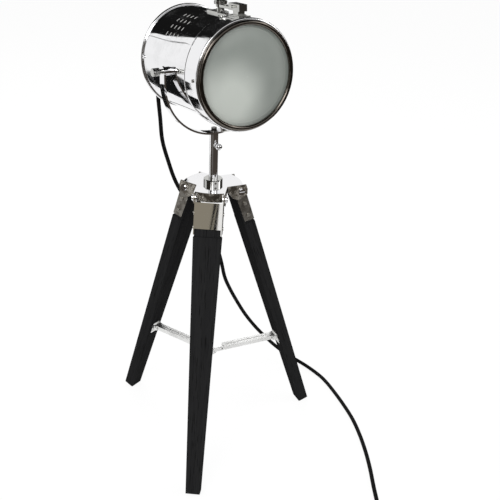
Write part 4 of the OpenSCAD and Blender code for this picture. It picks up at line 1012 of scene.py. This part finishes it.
# %% [markdown]
# ## Cards for the metal to reflect
#
# Polished metal on white turns plain white, so a photographer stands dark cards where the metal
# looks, out of the camera's own view. A pattern painted on the metal would stay in its place
# when the view moves, and a reflection wanders. Where a card has to be follows from a line of
# sight that goes from the camera to the metal and is thrown back there. Here the cards show in
# reflections only: they take no light away and throw no shadow. Their places are in metres from
# the stem.

# %% A card that only reflections show
def reflected_card(name, corners, colour):
    card = sheet_of(name, corners)
    card.visible_camera = False
    card.visible_diffuse = False
    card.visible_shadow = False
    card.visible_transmission = False
    paint = bpy.data.materials.new(name + "_paint")
    paint.use_nodes = True
    paint.node_tree.nodes.clear()
    flat = put(paint.node_tree, "Emission", {"Color": (*colour, 1), "Strength": 1.0})
    put(paint.node_tree, "OutputMaterial", {"Surface": flat.outputs[0]})
    card.data.materials.append(paint)
    return card


BLACK = (0.008, 0.008, 0.008)
DARK_FLOOR = (0.06, 0.05, 0.042)
GREY_FLOOR = (0.16, 0.15, 0.14)
PALE_FLOOR = (0.45, 0.45, 0.43)
DARK_WALL = (0.05, 0.045, 0.04)
BEIGE_WALL = (0.275, 0.25, 0.2)
print("card colours from", BLACK, "to", PALE_FLOOR)

# %% [markdown]
# Behind the lamp stands one large black card with a shaped left edge. It is the dark band over
# the top of the drum, and a narrow card beside that edge is the thin line under the band. A
# black ceiling, which the ring and the rear cap show, closes the space above.

# %% Outlines of the cards behind and above, as (x, z)
BACK_Y = 0.95
FRONT_Y = -3.0
SIDE_X = 3.0
CEILING_Z = 3.0
behind = [
    (-0.378, 0.78), (-0.373, 0.82), (-0.369, 0.89), (-0.354, 0.927), (-0.333, 0.967), (-0.313, 1),
    (-0.259, 1.077), (-0.226, 1.106), (-0.5, 1.3), (-SIDE_X, 1.3), (-SIDE_X, CEILING_Z),
    (SIDE_X, CEILING_Z), (SIDE_X, 1.2), (0.46, 1.2), (0.46, 0.8), (0.62, 0.8), (0.62, 0.56),
    (0.3, 0.56), (0.3, 0.78),
]
rod_behind = [
    (-0.392, 0.79), (-0.402, 0.79), (-0.436, 0.85), (-0.428, 0.93), (-0.418, 0.93), (-0.424, 0.85),
]
ceiling = [
    (-SIDE_X, BACK_Y, CEILING_Z), (SIDE_X, BACK_Y, CEILING_Z),
    (SIDE_X, FRONT_Y, CEILING_Z), (-SIDE_X, FRONT_Y, CEILING_Z),
]


def standing(outline):
    return [(x, BACK_Y, z) for x, z in outline]


print("behind:", len(behind), "corners")

# %% [markdown]
# Four cards lie on the floor. The large dark one darkens the platform, the stem, the right leg's
# cap and the lower part of the glass, and a small grey one lies over it on the left. The black
# one behind the lamp is the dark patch on the drum's lower half. The pale one beside that keeps
# the stem's left edge light.

# %% Outlines of the cards on the floor, as (x, y)
CARD_Z, UPPER_CARD_Z = 1 * MM, 2 * MM
front_floor = [
    (-1.2, 0.4), (-0.72, 0.22), (-0.5, -0.35), (0.3, -0.62), (0.66, -0.3), (0.75, 0.5), (2.5, 1.6),
    (2.5, FRONT_Y), (-SIDE_X, FRONT_Y), (-SIDE_X, 1), (-1.3, 0.75),
]
left_floor = [(-1.15, -0.45), (-0.72, -0.72), (-0.95, -1.05), (-1.5, -0.75)]
dark_behind = [
    (-0.03, 0.7), (-0.03, 0.76), (-0.105, 0.79), (-0.11, 0.9), (-0.17, 0.97), (-0.67, 1.45),
    (-0.95, 1.75), (-0.82, 1.44), (-0.56, 1.09), (-0.4, 0.945), (-0.34, 0.9), (-0.31, 0.79),
    (-0.24, 0.74), (-0.06, 0.69),
]
pale_behind = [(-0.74, 0.26), (-1.15, 0.42), (-1.0, 0.7), (-0.75, 0.9), (-0.5, 0.72), (-0.6, 0.5)]


def on_floor(outline, z=CARD_Z):
    return [(x, y, z) for x, y in outline]


print("floor cards:", len(front_floor), len(left_floor), len(dark_behind), len(pale_behind), "corners")

# %% [markdown]
# Two walls meet behind the camera. The right one darkens the glass, and together with a flag on
# each side they edge the ring. The left one has a beige part, which the polished front of a leg
# cap shows, and two thin black strips before it are the fine dark lines in that cap. A place on
# the left wall is given as a share of its length, a height, and how far it stands out.

# %% Walls and flags
WALL_START, WALL_END = Vector((-1.6, -1.2, 0)), Vector((0.2, -1.9, 0))
WALL_INWARD = Vector((0.36, 0.93, 0))
WALL_TOP = 1.0
RIGHT_WALL_X, RIGHT_WALL_Y = 2.4, -0.9
STRIP_OUT = 0.01
STRIP_BOTTOM, STRIP_TOP = 0.7, 0.8


def on_wall(share, z, out=0.0):
    return WALL_START.lerp(WALL_END, share) + WALL_INWARD * out + Vector((0, 0, z))


def wall_part(start, end, bottom, top):
    return [on_wall(start, bottom), on_wall(end, bottom), on_wall(end, top), on_wall(start, top)]


def wall_strip(bottom_start, bottom_end, top_end, top_start):
    """A thin strip before the wall. Its ends may lie at other shares above than below."""
    below = [on_wall(share, STRIP_BOTTOM, STRIP_OUT) for share in (bottom_start, bottom_end)]
    above = [on_wall(share, STRIP_TOP, STRIP_OUT) for share in (top_end, top_start)]
    return below + above


def side_flag(x, near, far, bottom, top):
    return [(x, near, bottom), (x, far, bottom), (x, far, top), (x, near, top)]


right_wall = [
    (WALL_END.x, WALL_END.y, 0), (RIGHT_WALL_X, RIGHT_WALL_Y, 0),
    (RIGHT_WALL_X, RIGHT_WALL_Y, WALL_TOP), (WALL_END.x, WALL_END.y, WALL_TOP),
]
print("left wall:", round((WALL_END - WALL_START).length, 2), "m long")

# %% [markdown]
# All cards are then made from one table. Each row has a colour and the corners, and the whole
# table is moved from the stem's place to the frame's.

# %% Place the cards
cards = {
    "card_behind": (BLACK, standing(behind)),
    "rod_behind": (BLACK, standing(rod_behind)),
    "ceiling": (BLACK, ceiling),
    "dark_floor": (DARK_FLOOR, on_floor(front_floor)),
    "grey_floor": (GREY_FLOOR, on_floor(left_floor, UPPER_CARD_Z)),
    "dark_behind": (BLACK, on_floor(dark_behind)),
    "pale_floor": (PALE_FLOOR, on_floor(pale_behind)),
    "left_flag": (DARK_WALL, side_flag(-1.5, near=-0.9, far=0.7, bottom=0.15, top=1.6)),
    "right_flag": (DARK_WALL, side_flag(1.6, near=-0.9, far=0.9, bottom=0.2, top=1.6)),
    "beige_wall": (BEIGE_WALL, wall_part(0, 0.2, bottom=0.2, top=1.3)),
    "wall_strip": (BLACK, wall_strip(0.187, 0.19, 0.1965, 0.191)),
    "wall_edge": (BLACK, wall_strip(0.194, 0.201, 0.201, 0.198)),
    "front_wall": (DARK_WALL, wall_part(0.26, 1, bottom=0, top=WALL_TOP)),
    "right_wall": (DARK_WALL, right_wall),
}
for name, (colour, corners) in cards.items():
    reflected_card(name, [FRAME_SHIFT + Vector(corner) for corner in corners], colour)
print("cards:", ", ".join(cards))
